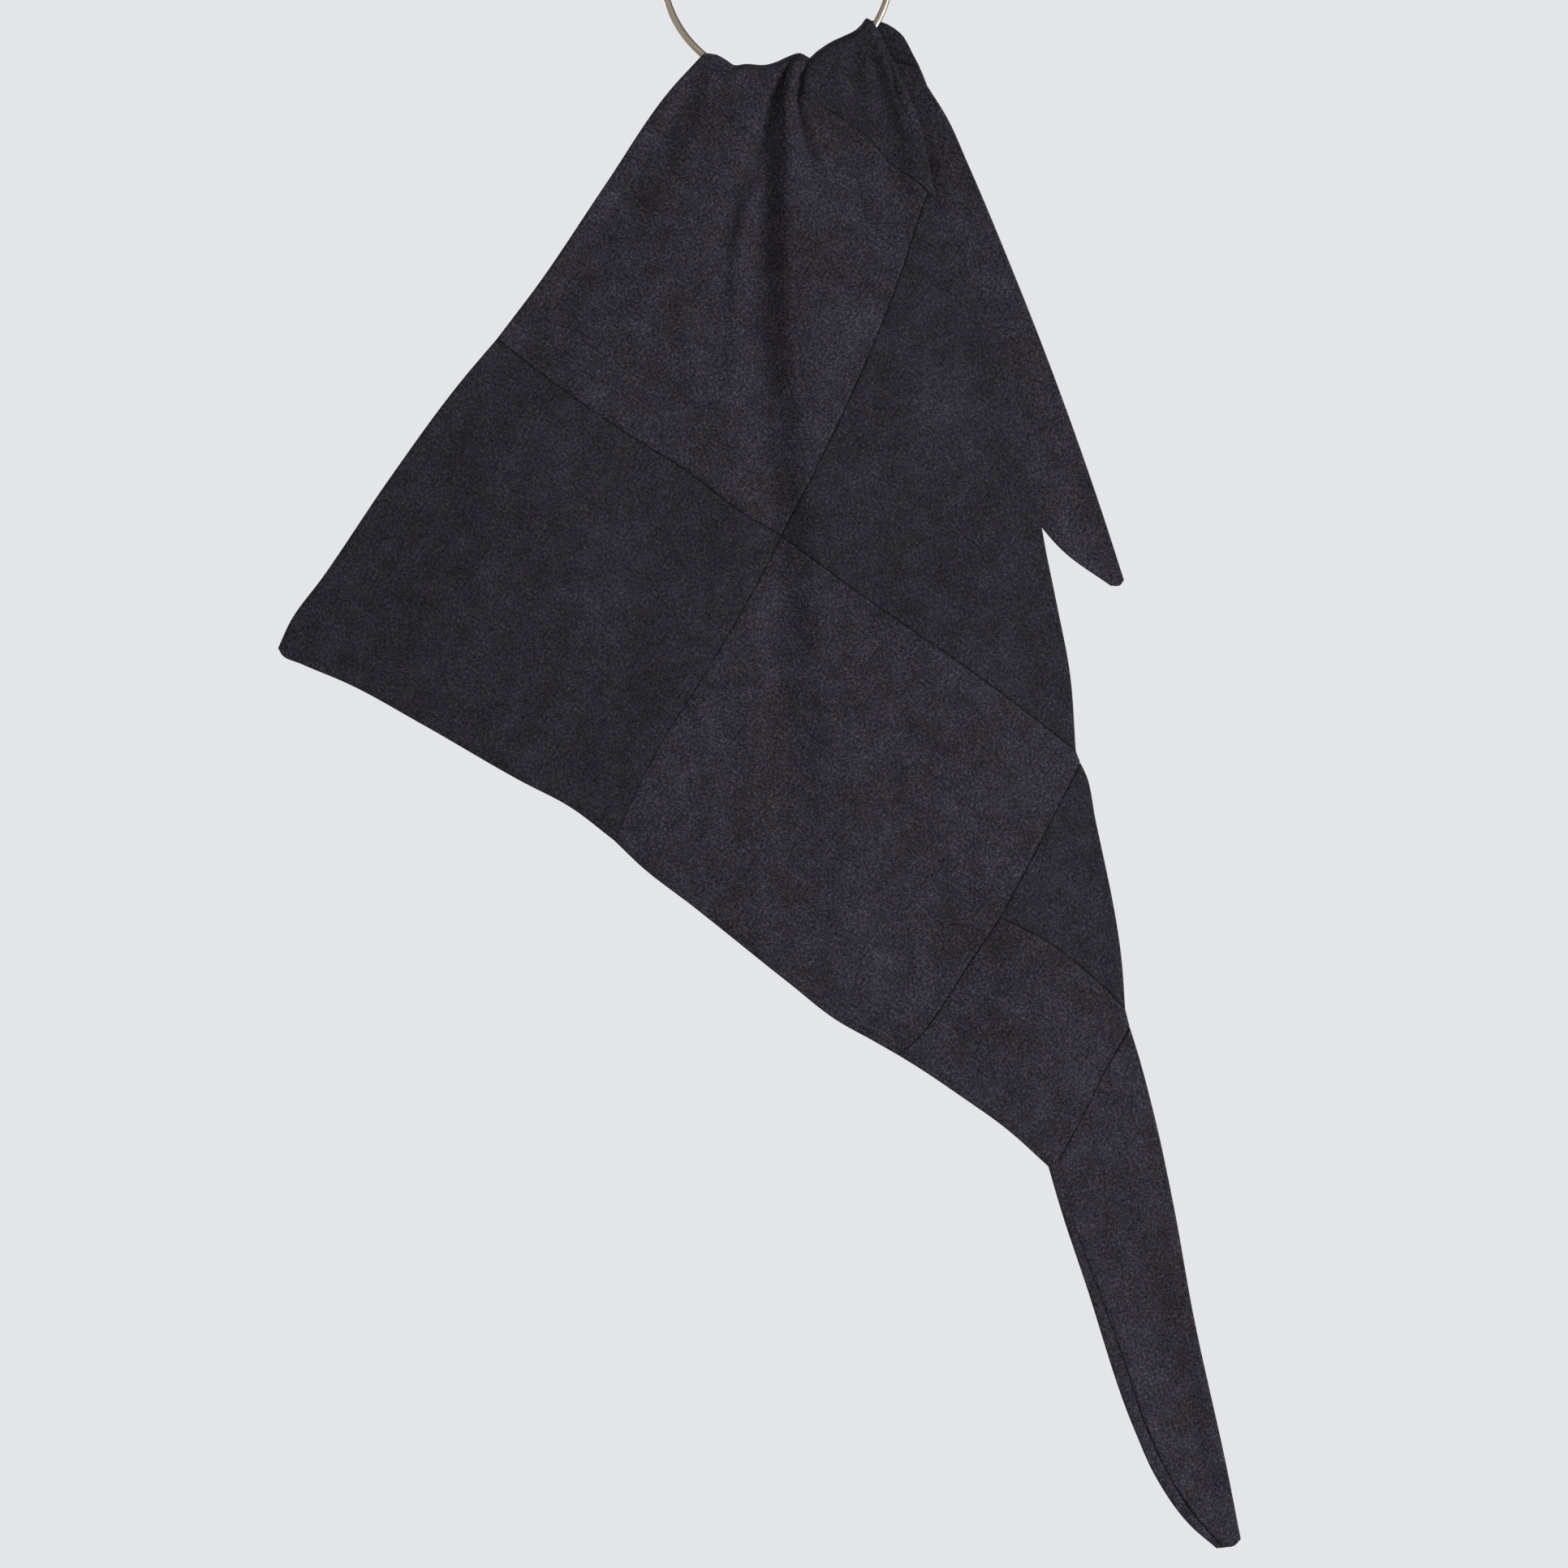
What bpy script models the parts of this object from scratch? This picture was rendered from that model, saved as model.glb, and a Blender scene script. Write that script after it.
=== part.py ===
"""A large patchwork neckerchief pulled over a hanging ring.

Two wool cloths, a plum twill and a charcoal felt, are pieced into a right-angled triangle with a tapered tie
at each sharp corner. Most of the sheet hangs in front of the ring. The rest goes over the rod and hangs
behind it.

Metres, +Z up. The sheet faces -Y and the ring stands in the plane y = 0. The origin is the ring's inner top,
where a peg holds it. Tables are in millimetres: "across" is to the right of the ring's middle, "down" is
below its inner top.
"""

import itertools
import math

import bmesh
import bpy
import numpy as np

MM = 0.001

# The ring
RING_RADIUS = 99.0 * MM
ROD_RADIUS = 3.1 * MM
RING_STEPS = 64
ROD_STEPS = 10

# The cloth: two layers, bagged out
WALL = 2.6 * MM
SEAM_GAP = 0.3 * MM
EDGE_SWELL = 0.9 * MM
ROLL_HEIGHT = 9.0 * MM

# Colours as linear RGB, with roughness and metallic values
FINISHES = {
    "plum_twill": ((0.036, 0.031, 0.042), 0.95, 0.0),
    "charcoal_felt": ((0.027, 0.026, 0.033), 0.97, 0.0),
    "pale_brass": ((0.56, 0.49, 0.42), 0.28, 1.0),
}

# Sewn corners as they hang: across, down
CORNERS = {
    "point": (-430.0, 685.0),
    "left": (-241.0, 418.5),
    "cross": (4.0, 588.0),
    "foot": (-141.5, 852.5),
    "shoulder": (-66.5, 177.0),
    "throat": (20.5, 210.5),
    "neck": (130.0, 293.0),
    "neck_edge": (137.5, 300.0),
    "side_upper": (258.0, 773.5),
    "side_lower": (262.0, 784.0),
    "inner": (192.5, 917.0),
    "hem": (104.0, 1037.5),
    "hip_upper": (300.5, 996.0),
    "hip_lower": (304.5, 1012.0),
    "heel": (243.5, 1125.5),
    "root": (234.0, 1131.5),
    "tip_left": (379.5, 1461.5),
    "tip_seam": (385.0, 1461.0),
    "tip_right": (400.5, 1453.5),
    "crest_left": (-54.0, 173.0),
    "crest_middle": (28.5, 175.5),
    "crest_right": (78.5, 143.5),
    "nape": (123.0, 182.0),
    "back_root": (40.5, 286.0),
    "back_tip_left": (289.0, 630.5),
    "back_tip_right": (300.5, 625.5),
}

# Lines between corners. "steps" is the number of facets, and "spacing" closes them up at one end.
# name: (start, end, kind, steps, spacing, [(across, down) between the ends])
LINES = {
    "edge_corner": (
        "point", "left", "edge", 17, "even",
        [(-420, 663), (-391, 623), (-334, 539), (-272, 455)],
    ),
    "edge_upper": ("left", "shoulder", "edge", 18, "even", [(-205, 371), (-148, 287), (-90, 203)]),
    "hem_corner": (
        "point", "foot", "edge", 24, "even",
        [(-426, 691.5), (-411, 699), (-369, 718), (-306, 753), (-222, 802), (-180, 825)],
    ),
    "hem_lower": (
        "foot", "hem", "edge", 18, "even",
        [(-117, 875), (-75, 907), (9, 974), (51, 1008), (82, 1026)],
    ),
    "hem_strip": ("hem", "root", "edge", 7, "even", [(121, 1046.5), (156, 1070), (198, 1100)]),
    "tail_inner": (
        "root", "tip_left", "edge", 22, "even",
        [(245, 1169), (266, 1232), (308, 1358), (327, 1400), (357, 1442)],
    ),
    "tail_outer": (
        "hip_lower", "tip_right", "edge", 22, "even",
        [(309, 1026), (325, 1085), (343, 1169), (358, 1253), (390, 1400)],
    ),
    "tail_roll": (
        "heel", "tip_seam", "seam", 22, "even",
        [(254, 1173), (279, 1243), (299, 1298.5), (317, 1352.5), (341.5, 1404.5), (357, 1428.5)],
    ),
    "tip_turned": ("tip_left", "tip_seam", "edge", 2, "even", []),
    "tip": ("tip_seam", "tip_right", "edge", 6, "even", [(395, 1459)]),
    "long_edge_upper": (
        "neck_edge", "side_upper", "edge", 17, "even",
        [(159, 354), (192, 430), (216, 506), (224, 544), (229, 583), (241, 644), (253, 707)],
    ),
    "side_edge": ("side_lower", "side_upper", "edge", 1, "even", []),
    "long_edge_lower": ("side_lower", "hip_upper", "edge", 7, "even", [(266, 792), (275, 833), (298, 959)]),
    "hip_edge": ("hip_lower", "hip_upper", "edge", 1, "even", []),
    "upper_corner": (
        "left", "cross", "seam", 24, "even",
        [(-191, 457.5), (-130, 499.5), (-74, 534.5), (-31.5, 567)],
    ),
    "upper_middle": (
        "cross", "neck", "seam", 18, "even",
        [(22.5, 552.5), (58, 480), (90, 406.5), (109, 356), (125.5, 305)],
    ),
    "neck_seam": ("neck", "neck_edge", "seam", 1, "even", []),
    "upper_gusset": (
        "throat", "neck", "seam", 10, "even",
        [(33, 216), (56.5, 230), (78.5, 246.5), (97, 267), (119.5, 283)],
    ),
    "upper_strip": ("shoulder", "throat", "seam", 14, "even", [(-50, 192), (-29, 202), (-5, 209)]),
    "corner_lower": (
        "foot", "cross", "seam", 17, "even",
        [(-124.5, 815), (-99.5, 766), (-70, 719.5), (-28, 649)],
    ),
    "lower_middle": ("cross", "side_upper", "seam", 18, "even", [(57.5, 628), (122.5, 673.5), (188, 719.5)]),
    "lower_gusset": ("inner", "side_lower", "seam", 7, "even", [(215, 875), (243, 820.5)]),
    "lower_strip": ("hem", "inner", "seam", 9, "even", [(126.5, 1016), (136, 1003), (168.5, 952.5)]),
    "gusset_strip": ("inner", "hip_upper", "seam", 7, "even", [(232.5, 937.5), (276.5, 972)]),
    "strip_tail": ("heel", "hip_lower", "seam", 6, "even", [(262, 1090.5), (286.5, 1042.5)]),
    "strip_turned": ("root", "heel", "seam", 2, "even", []),
    "crest_strip": (
        "crest_left", "crest_middle", "crest", 14, "even",
        [(-36, 183), (-9, 182), (9, 175), (20, 172)],
    ),
    "crest_gusset": ("crest_middle", "crest_right", "crest", 11, "even", [(37, 169), (48, 162), (69, 152)]),
    "shoulder_front": ("shoulder", "crest_left", "edge", 8, "end", [(-62, 173)]),
    "throat_front": ("throat", "crest_middle", "seam", 8, "end", [(24, 189)]),
    "neck_front": (
        "neck_edge", "crest_right", "edge", 8, "end",
        [(130.5, 268), (122, 231), (111, 205), (94, 168), (85, 149)],
    ),
    "shoulder_back": ("back_root", "crest_left", "edge", 11, "end", [(-12, 245), (-42, 205)]),
    "throat_back": ("nape", "crest_middle", "seam", 11, "end", [(101, 178), (72, 187), (44, 190)]),
    "nape_back": ("nape", "crest_right", "edge", 11, "end", [(119, 172), (107, 152), (89, 142)]),
    "back_strip_tail": ("back_root", "nape", "seam", 14, "even", [(82, 238)]),
    "back_tail_outer": (
        "back_tip_right", "nape", "edge", 20, "even",
        [(279, 560), (234, 434), (201, 350), (166, 266), (147, 224)],
    ),
    "back_tail_inner": (
        "back_tip_left", "back_root", "edge", 20, "even",
        [(250, 603), (189, 518), (145, 444), (93, 360)],
    ),
    "back_tip": ("back_tip_left", "back_tip_right", "edge", 14, "even", [(297, 630)]),
}

# Pieces with four sides: finish, sheet, then the lines of the bottom, top, left and right.
# Bottoms and tops run left to right, left and right sides run upwards.
FOUR_SIDED = {
    "patch_upper": (
        "plum_twill", "front",
        ["upper_corner"], ["upper_strip", "upper_gusset"], ["edge_upper"], ["upper_middle"],
    ),
    "patch_corner": (
        "charcoal_felt", "front", ["hem_corner"], ["upper_corner"], ["edge_corner"], ["corner_lower"],
    ),
    "patch_lower": (
        "plum_twill", "front",
        ["hem_lower"], ["lower_middle"], ["corner_lower"], ["lower_strip", "lower_gusset", "side_edge"],
    ),
    "strip_lower": (
        "plum_twill", "front",
        ["hem_strip"], ["gusset_strip"], ["lower_strip"], ["strip_turned", "strip_tail", "hip_edge"],
    ),
    "strip_upper_front": (
        "plum_twill", "front", ["upper_strip"], ["crest_strip"], ["shoulder_front"], ["throat_front"],
    ),
    "gusset_upper_front": (
        "charcoal_felt", "front",
        ["upper_gusset", "neck_seam"], ["crest_gusset"], ["throat_front"], ["neck_front"],
    ),
    "strip_upper_back": (
        "plum_twill", "back", ["back_strip_tail"], ["crest_strip"], ["shoulder_back"], ["throat_back"],
    ),
    "tail_back": (
        "plum_twill", "back", ["back_tip"], ["back_strip_tail"], ["back_tail_inner"], ["back_tail_outer"],
    ),
    "tail_front": ("plum_twill", "front", ["tail_roll"], ["tail_outer"], ["strip_tail"], ["tip"]),
    "tail_front_turned_edge": (
        "plum_twill", "front", ["tail_inner"], ["tail_roll"], ["strip_turned"], ["tip_turned"],
    ),
}

# Pieces with three sides: finish, sheet, then the lines of two sides out of one corner and of the far side
THREE_SIDED = {
    "patch_middle": (
        "charcoal_felt", "front", ["upper_middle"], ["lower_middle"], ["neck_seam", "long_edge_upper"],
    ),
    "gusset_lower": ("charcoal_felt", "front", ["lower_gusset"], ["gusset_strip"], ["long_edge_lower"]),
    "gusset_upper_back": ("charcoal_felt", "back", ["throat_back"], ["nape_back"], ["crest_gusset"]),
}

# How far each sheet's middle lies from the ring's plane, out towards its own side: down, out
FRONT_HANG = [
    (130, 14), (175, 15), (210, 18), (240, 18), (300, 16), (400, 13), (520, 10), (700, 8), (900, 8),
    (1050, 8), (1200, 9), (1350, 8), (1465, 5),
]
BACK_HANG = [(130, 8), (200, 8), (260, 7), (340, 4.5), (440, 2.5), (540, 1.5), (640, 1.5)]

# The top of the roll over the rod: across, down. It runs on past the cloth, whose ends so clear the rod.
CREST = [
    (-70, 169), (-60, 170.5), (-54, 172.7), (-45, 177.3), (-36.5, 182.4), (-27, 181.5), (-9, 182), (0, 179.5),
    (9, 175.5), (20, 172), (28.5, 175.5), (37, 169), (48, 162), (58, 157.5), (69, 152), (74, 149),
    (78.5, 143.5), (84, 140), (90, 137), (100, 135.5), (135, 135.5),
]

# Folds of the front sheet. A trough has a negative rise. Each runs along its rows, with its half widths to
# the left and right of its line: down, across, rise, left, right
FOLDS = {
    "main_pleat": [
        (178, 8, 0, 8, 7), (190, 5, -5, 9, 8), (205, 0, -8, 12, 10), (232, -5, -11, 15, 15),
        (266, -9, -12, 18, 21), (301, -11, -12, 19, 26), (336, -11, -11, 20, 28), (378, -10, -9, 21, 30),
        (427, -8, -8, 24, 32), (490, -5, -7, 28, 35), (588, 0, -5.5, 32, 36), (686, 4, -5, 35, 38),
        (756, 6, -4, 38, 42), (896, 19, -3, 42, 46), (1005, 25, 0, 45, 45),
    ],
    "pleat_ridge": [
        (180, 13, 0, 7, 7), (192, 13, 4, 9, 8), (210, 13, 6, 11, 12), (238, 14, 8, 16, 40),
        (266, 15, 8, 22, 56), (301, 17, 7.5, 27, 66), (350, 20, 6, 29, 76), (427, 23, 4.5, 32, 84),
        (546, 30, 3.5, 36, 88), (700, 42, 3, 42, 90), (826, 51, 2, 46, 90), (960, 55, 0, 50, 86),
    ],
    "second_pleat": [
        (178, 26, 0, 7, 8), (190, 22, -4, 8, 8), (206, 19, -5.5, 8, 9), (218, 20, -4, 8, 11),
        (242, 27, -2, 9, 14), (262, 33, 0, 10, 14),
    ],
    "third_pleat": [
        (200, -16, 0, 20, 12), (216, -20, -4, 22, 13), (240, -28, -6, 28, 14), (277, -41, -6.5, 32, 14),
        (315, -46, -6, 34, 15), (355, -49, -5, 36, 17), (392, -52, -3, 38, 20), (430, -54, 0, 40, 22),
    ],
    "left_valley": [
        (182, -58, 0, 12, 16), (200, -63, -4, 14, 18), (222, -70, -6, 17, 22), (260, -88, -6, 23, 28),
        (302, -105, -5, 28, 34), (340, -128, -3.5, 34, 40), (395, -155, 0, 38, 46),
    ],
    "gusset_tuck": [
        (158, 62, 0, 12, 13), (176, 65, -4, 12, 14), (204, 68, -4.5, 12, 15), (236, 72, 0, 12, 16),
    ],
    "gusset_valley": [
        (172, 82, 0, 12, 12), (190, 88, -2.5, 14, 14), (220, 96, -4, 18, 17), (256, 104, -4, 22, 20),
        (300, 116, 0, 26, 26),
    ],
    "long_edge_lift": [
        (146, 80, 0, 12, 14), (160, 86, 4, 13, 13), (182, 96, 6, 15, 14), (215, 108, 7, 17, 16),
        (260, 121, 6, 22, 20), (330, 146, 3, 34, 34), (400, 172, 0, 46, 50),
    ],
    "corner_flute": [
        (330, -120, 0, 60, 60), (420, -160, 2.5, 70, 70), (560, -230, 4, 84, 84), (700, -300, 3.5, 90, 90),
        (820, -360, 0, 90, 90),
    ],
    "corner_hollow": [
        (440, -70, 0, 50, 60), (560, -100, -2.5, 60, 74), (700, -150, -4, 70, 90), (860, -190, -3, 76, 96),
        (980, -220, 0, 80, 100),
    ],
    "side_flute": [
        (620, 130, 0, 60, 70), (740, 150, 2.5, 66, 80), (900, 180, 4, 66, 80), (1040, 214, 3.5, 60, 76),
        (1180, 262, 0, 50, 60),
    ],
    "tail_hollow": [
        (1100, 262, 0, 30, 36), (1180, 296, -3, 34, 40), (1290, 330, -4, 36, 40), (1390, 362, -2, 34, 36),
        (1460, 388, 0, 30, 30),
    ],
}

# Folds of the back sheet, with the same columns
BACK_FOLDS = {
    "strip_swell": [
        (190, -10, 0, 26, 30), (215, -2, 3, 28, 34), (250, 20, 3, 30, 36), (300, 62, 2, 34, 40),
        (380, 110, 0, 36, 44),
    ],
    "edge_swell": [
        (165, 100, 0, 16, 20), (190, 112, 3, 20, 24), (240, 138, 3, 26, 30), (320, 172, 1.5, 32, 34),
        (420, 214, 0, 34, 34),
    ],
    "tip_turn": [
        (480, 214, 0, 30, 40), (540, 246, 2, 34, 40), (600, 276, 4, 36, 40), (640, 300, 5, 36, 40),
    ],
}

SPAN_STEPS = 20
SLOPE_STEP = 0.05


def smooth_path(rows):
    """Close points along a smooth curve through the rows, by cubic spans."""
    rows = np.array(rows, dtype=float)
    knots = np.concatenate([[0.0], np.cumsum(np.linalg.norm(np.diff(rows[:, :2], axis=0), axis=1))])
    slopes = np.gradient(rows, knots, axis=0)
    path = []
    for start in range(len(rows) - 1):
        span = knots[start + 1] - knots[start]
        for t in np.linspace(0.0, 1.0, SPAN_STEPS, endpoint=False):
            path.append(
                (2 * t**3 - 3 * t**2 + 1) * rows[start]
                + (t**3 - 2 * t**2 + t) * span * slopes[start]
                + (3 * t**2 - 2 * t**3) * rows[start + 1]
                + (t**3 - t**2) * span * slopes[start + 1]
            )
    path.append(rows[-1])
    return np.array(path)


def spread(steps, spacing):
    """Fractions from 0 to 1: even, or closer together towards the end."""
    even = np.linspace(0.0, 1.0, steps + 1)
    return even if spacing == "even" else 1.0 - (1.0 - even) ** 2


def line_points(name):
    """The points of one line, at its own spacing. A crest line keeps to the top of the roll."""
    start, end, kind, steps, spacing, between = LINES[name]
    path = smooth_path([CORNERS[start], *between, CORNERS[end]])
    lengths = np.concatenate([[0.0], np.cumsum(np.linalg.norm(np.diff(path, axis=0), axis=1))])
    wanted = spread(steps, spacing) * lengths[-1]
    across, down = (np.interp(wanted, lengths, path[:, k]) for k in range(2))
    if kind == "crest":
        down = crest_down(across)
    return np.column_stack([across, down])


def side_points(names):
    """The points of one side, which may be a chain of lines."""
    points = line_points(names[0])
    for name in names[1:]:
        points = np.vstack([points, line_points(name)[1:]])
    return points


FOLD_PATHS = {
    "front": [smooth_path(rows) for rows in FOLDS.values()],
    "back": [smooth_path(rows) for rows in BACK_FOLDS.values()],
}
HANG_PATHS = {"front": smooth_path(FRONT_HANG), "back": smooth_path(BACK_HANG)}
CREST_PATH = smooth_path(CREST)
ROLL = ROLL_HEIGHT / MM


def fold_rise(path, across, down):
    """The rise of one fold: a soft round swell that fades to nothing at its half widths."""
    centre, rise, left, right = (np.interp(down, path[:, 0], path[:, k]) for k in range(1, 5))
    offset = across - centre
    reach = offset / (left if offset < 0.0 else right)
    return 0.5 * rise * (1.0 + math.cos(math.pi * min(1.0, abs(reach))))


def sheet_out(sheet, across, down):
    """How far out a sheet lies from the ring's plane, towards its own side."""
    hang = HANG_PATHS[sheet]
    out = np.interp(down, hang[:, 0], hang[:, 1])
    return out + sum(fold_rise(path, across, down) for path in FOLD_PATHS[sheet])


def crest_down(across):
    return np.interp(across, CREST_PATH[:, 0], CREST_PATH[:, 1])


def below_crest(across, down):
    return down - crest_down(across)


def sheet_depth(sheet, across, down):
    """The y of a sheet's middle: it closes to the ring's plane in a half ellipse under the crest."""
    height = min(1.0, max(0.0, below_crest(across, down) / ROLL))
    closing = math.sqrt(1.0 - (1.0 - height) ** 2)
    out = max(0.5 * SEAM_GAP / MM, sheet_out(sheet, across, down) * closing)
    return -out if sheet == "front" else out


def level(sheet, across, depth, down):
    """A function that grows outwards across the sheet's middle, in the roll and below it."""
    out = sheet_out(sheet, across, down)
    outward = -depth if sheet == "front" else depth
    height = below_crest(across, down) / ROLL
    if height >= 1.0:
        return 2.0 * (outward - out) / out
    return (outward / out) ** 2 + (1.0 - height) ** 2


def sheet_point(sheet, across, down):
    """A point of the sheet's middle and the unit direction out of its outer face."""
    depth = sheet_depth(sheet, across, down)
    e = SLOPE_STEP
    outward = np.array([
        level(sheet, across + e, depth, down) - level(sheet, across - e, depth, down),
        level(sheet, across, depth + e, down) - level(sheet, across, depth - e, down),
        level(sheet, across, depth, down - e) - level(sheet, across, depth, down + e),
    ])
    return np.array([across, depth, -down]) * MM, outward / np.linalg.norm(outward)


def inset_side(points, inward_left):
    """In-plane steps that part a side from its neighbour by half the seam gap."""
    along = np.gradient(points, axis=0)
    along /= np.linalg.norm(along, axis=1)[:, None]
    turn = 1.0 if inward_left else -1.0
    return 0.5 * SEAM_GAP / MM * turn * np.column_stack([along[:, 1], -along[:, 0]])


def four_sided_grid(bottom, top, left, right):
    """Rows of points that fill four sides, from bottom to top."""
    columns, rows = len(bottom) - 1, len(left) - 1
    reach = np.concatenate([[0.0], np.cumsum(np.linalg.norm(np.diff(left, axis=0), axis=1))])
    grid = np.zeros((rows + 1, columns + 1, 2))
    for j, t in enumerate(reach / reach[-1]):
        for i in range(columns + 1):
            s = i / columns
            ruled = (1 - t) * bottom[i] + t * top[i] + (1 - s) * left[j] + s * right[j]
            corners = (1 - t) * ((1 - s) * bottom[0] + s * bottom[-1]) + t * ((1 - s) * top[0] + s * top[-1])
            grid[j, i] = ruled - corners
    return grid


def three_sided_rows(first, second, far):
    """Rows of points, each one longer, from the corner of two lines to the line between their far ends."""
    count = len(far) - 1
    rows = [[first[0]]]
    for k in range(1, count + 1):
        t = k / count
        row = []
        for i in range(k + 1):
            s = i / k
            straight = (1 - s) * far[0] + s * far[-1]
            row.append((1 - s) * first[k] + s * second[k] + t * (far_point(far, s) - straight))
        rows.append(row)
    return rows


def far_point(far, s):
    place = s * (len(far) - 1)
    return np.array([np.interp(place, range(len(far)), far[:, k]) for k in range(2)])


def side_runs(names, keys, inward_left):
    """One side cut into runs of a single kind of line: the kind, the points' keys and their inward steps."""
    runs = []
    begin = 0
    for kind, group in itertools.groupby(names, key=line_kind):
        points = side_points(list(group))
        end = begin + len(points)
        runs.append((kind, keys[begin:end], inset_side(points, inward_left)))
        begin = end - 1
    return runs


def shift_rim(points, sides):
    """Move the rim's points inwards at the seams. In the roll they move across and keep below the crest."""
    for kind, keys, steps in itertools.chain(*sides):
        if kind != "seam":
            continue
        for key, step in zip(keys, steps):
            across, down = points[key]
            height = below_crest(across, down)
            if height < ROLL:
                across += math.copysign(0.5 * SEAM_GAP / MM, step[0])
                points[key] = np.array([across, crest_down(across) + height])
            else:
                points[key] = points[key] + step


def rim_keys(sides, forward_count):
    """The rim anticlockwise, as (key, kind). The first sides run along it and the others against it."""
    rim = []
    for turn, runs in enumerate(sides):
        along = turn < forward_count
        for kind, keys, _steps in (runs if along else runs[::-1]):
            rim += [(key, kind) for key in (keys if along else keys[::-1])[:-1]]
    return rim


def wall_object(name, finish, sheet, points, faces, rim):
    """A closed wall on the points: an outer skin, an inner skin and a rim, rounded along the cloth's edges.

    The rim is a list of (key, kind), anticlockwise seen from the front, where kind is that of the line that
    leads on from the point.
    """
    shape = bmesh.new()
    outer, inner, middles = {}, {}, {}
    for key, (across, down) in points.items():
        middle, outward = sheet_point(sheet, across, down)
        outer[key] = shape.verts.new(middle + 0.5 * WALL * outward)
        inner[key] = shape.verts.new(middle - 0.5 * WALL * outward)
        middles[key] = (middle, outward)
    for face in faces:
        shape.faces.new([outer[key] for key in face])
        shape.faces.new([inner[key] for key in reversed(face)])
    facing = 1.0 if sheet == "front" else -1.0
    swells = []
    for k, (key, kind) in enumerate(rim):
        middle, outward = middles[key]
        before_key, before_kind = rim[k - 1]
        if kind == before_kind == "edge":
            after_key = rim[(k + 1) % len(rim)][0]
            sideways = facing * np.cross(middles[after_key][0] - middles[before_key][0], outward)
            middle = middle + EDGE_SWELL * sideways / np.linalg.norm(sideways)
        swells.append(shape.verts.new(middle))
    for k, (key, _kind) in enumerate(rim):
        following = (k + 1) % len(rim)
        after_key = rim[following][0]
        shape.faces.new([outer[key], swells[k], swells[following], outer[after_key]])
        shape.faces.new([swells[k], inner[key], inner[after_key], swells[following]])
    bmesh.ops.triangulate(shape, faces=shape.faces[:])
    bmesh.ops.recalc_face_normals(shape, faces=shape.faces[:])
    return finished_object(name, finish, shape)


def finished_object(name, finish, shape):
    mesh = bpy.data.meshes.new(name)
    shape.to_mesh(mesh)
    shape.free()
    mesh.shade_smooth()
    mesh.set_sharp_from_angle(angle=math.radians(50.0))
    mesh.materials.append(finish_material(finish))
    thing = bpy.data.objects.new(name, mesh)
    bpy.context.scene.collection.objects.link(thing)
    return thing


def finish_material(finish):
    if finish in bpy.data.materials:
        return bpy.data.materials[finish]
    colour, roughness, metallic = FINISHES[finish]
    material = bpy.data.materials.new(finish)
    material.use_nodes = True
    shader = material.node_tree.nodes["Principled BSDF"]
    shader.inputs["Base Color"].default_value = (*colour, 1.0)
    shader.inputs["Roughness"].default_value = roughness
    shader.inputs["Metallic"].default_value = metallic
    return material


def line_kind(name):
    return LINES[name][2]


def build_four_sided(name):
    finish, sheet, bottom_lines, top_lines, left_lines, right_lines = FOUR_SIDED[name]
    bottom, top = side_points(bottom_lines), side_points(top_lines)
    left, right = side_points(left_lines), side_points(right_lines)
    grid = four_sided_grid(bottom, top, left, right)
    rows, columns = grid.shape[0] - 1, grid.shape[1] - 1
    points = {(j, i): grid[j, i] for j in range(rows + 1) for i in range(columns + 1)}
    sides = [
        side_runs(bottom_lines, [(0, i) for i in range(columns + 1)], True),
        side_runs(right_lines, [(j, columns) for j in range(rows + 1)], True),
        side_runs(top_lines, [(rows, i) for i in range(columns + 1)], False),
        side_runs(left_lines, [(j, 0) for j in range(rows + 1)], False),
    ]
    shift_rim(points, sides)
    faces = [[(j, i), (j, i + 1), (j + 1, i + 1), (j + 1, i)] for j in range(rows) for i in range(columns)]
    return wall_object(name, finish, sheet, points, faces, rim_keys(sides, 2))


def build_three_sided(name):
    finish, sheet, first_lines, second_lines, far_lines = THREE_SIDED[name]
    first, second, far = (side_points(lines) for lines in (first_lines, second_lines, far_lines))
    rows = three_sided_rows(first, second, far)
    count = len(rows) - 1
    points = {(j, i): np.array(rows[j][i]) for j in range(count + 1) for i in range(j + 1)}
    sides = [
        side_runs(second_lines, [(j, j) for j in range(count + 1)], True),
        side_runs(far_lines, [(count, i) for i in range(count + 1)], False),
        side_runs(first_lines, [(j, 0) for j in range(count + 1)], False),
    ]
    shift_rim(points, sides)
    faces = [[(j, i), (j + 1, i), (j + 1, i + 1)] for j in range(count) for i in range(j + 1)]
    faces += [[(j, i), (j + 1, i + 1), (j, i + 1)] for j in range(1, count) for i in range(j)]
    return wall_object(name, finish, sheet, points, faces, rim_keys(sides, 1))


def build_ring():
    """A round rod bent into a ring that stands in the plane y = 0 and hangs by its inner top."""
    shape = bmesh.new()
    centre_z = -(RING_RADIUS - ROD_RADIUS)
    loops = []
    for k in range(RING_STEPS):
        angle = 2.0 * math.pi * k / RING_STEPS
        loop = []
        for n in range(ROD_STEPS):
            turn = 2.0 * math.pi * n / ROD_STEPS
            radius = RING_RADIUS + ROD_RADIUS * math.cos(turn)
            loop.append(shape.verts.new((
                radius * math.sin(angle), ROD_RADIUS * math.sin(turn), centre_z + radius * math.cos(angle),
            )))
        loops.append(loop)
    for k, loop in enumerate(loops):
        following = loops[(k + 1) % RING_STEPS]
        for n in range(ROD_STEPS):
            m = (n + 1) % ROD_STEPS
            shape.faces.new([loop[n], loop[m], following[m], following[n]])
    bmesh.ops.triangulate(shape, faces=shape.faces[:])
    bmesh.ops.recalc_face_normals(shape, faces=shape.faces[:])
    return finished_object("hanging_ring", "pale_brass", shape)


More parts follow.
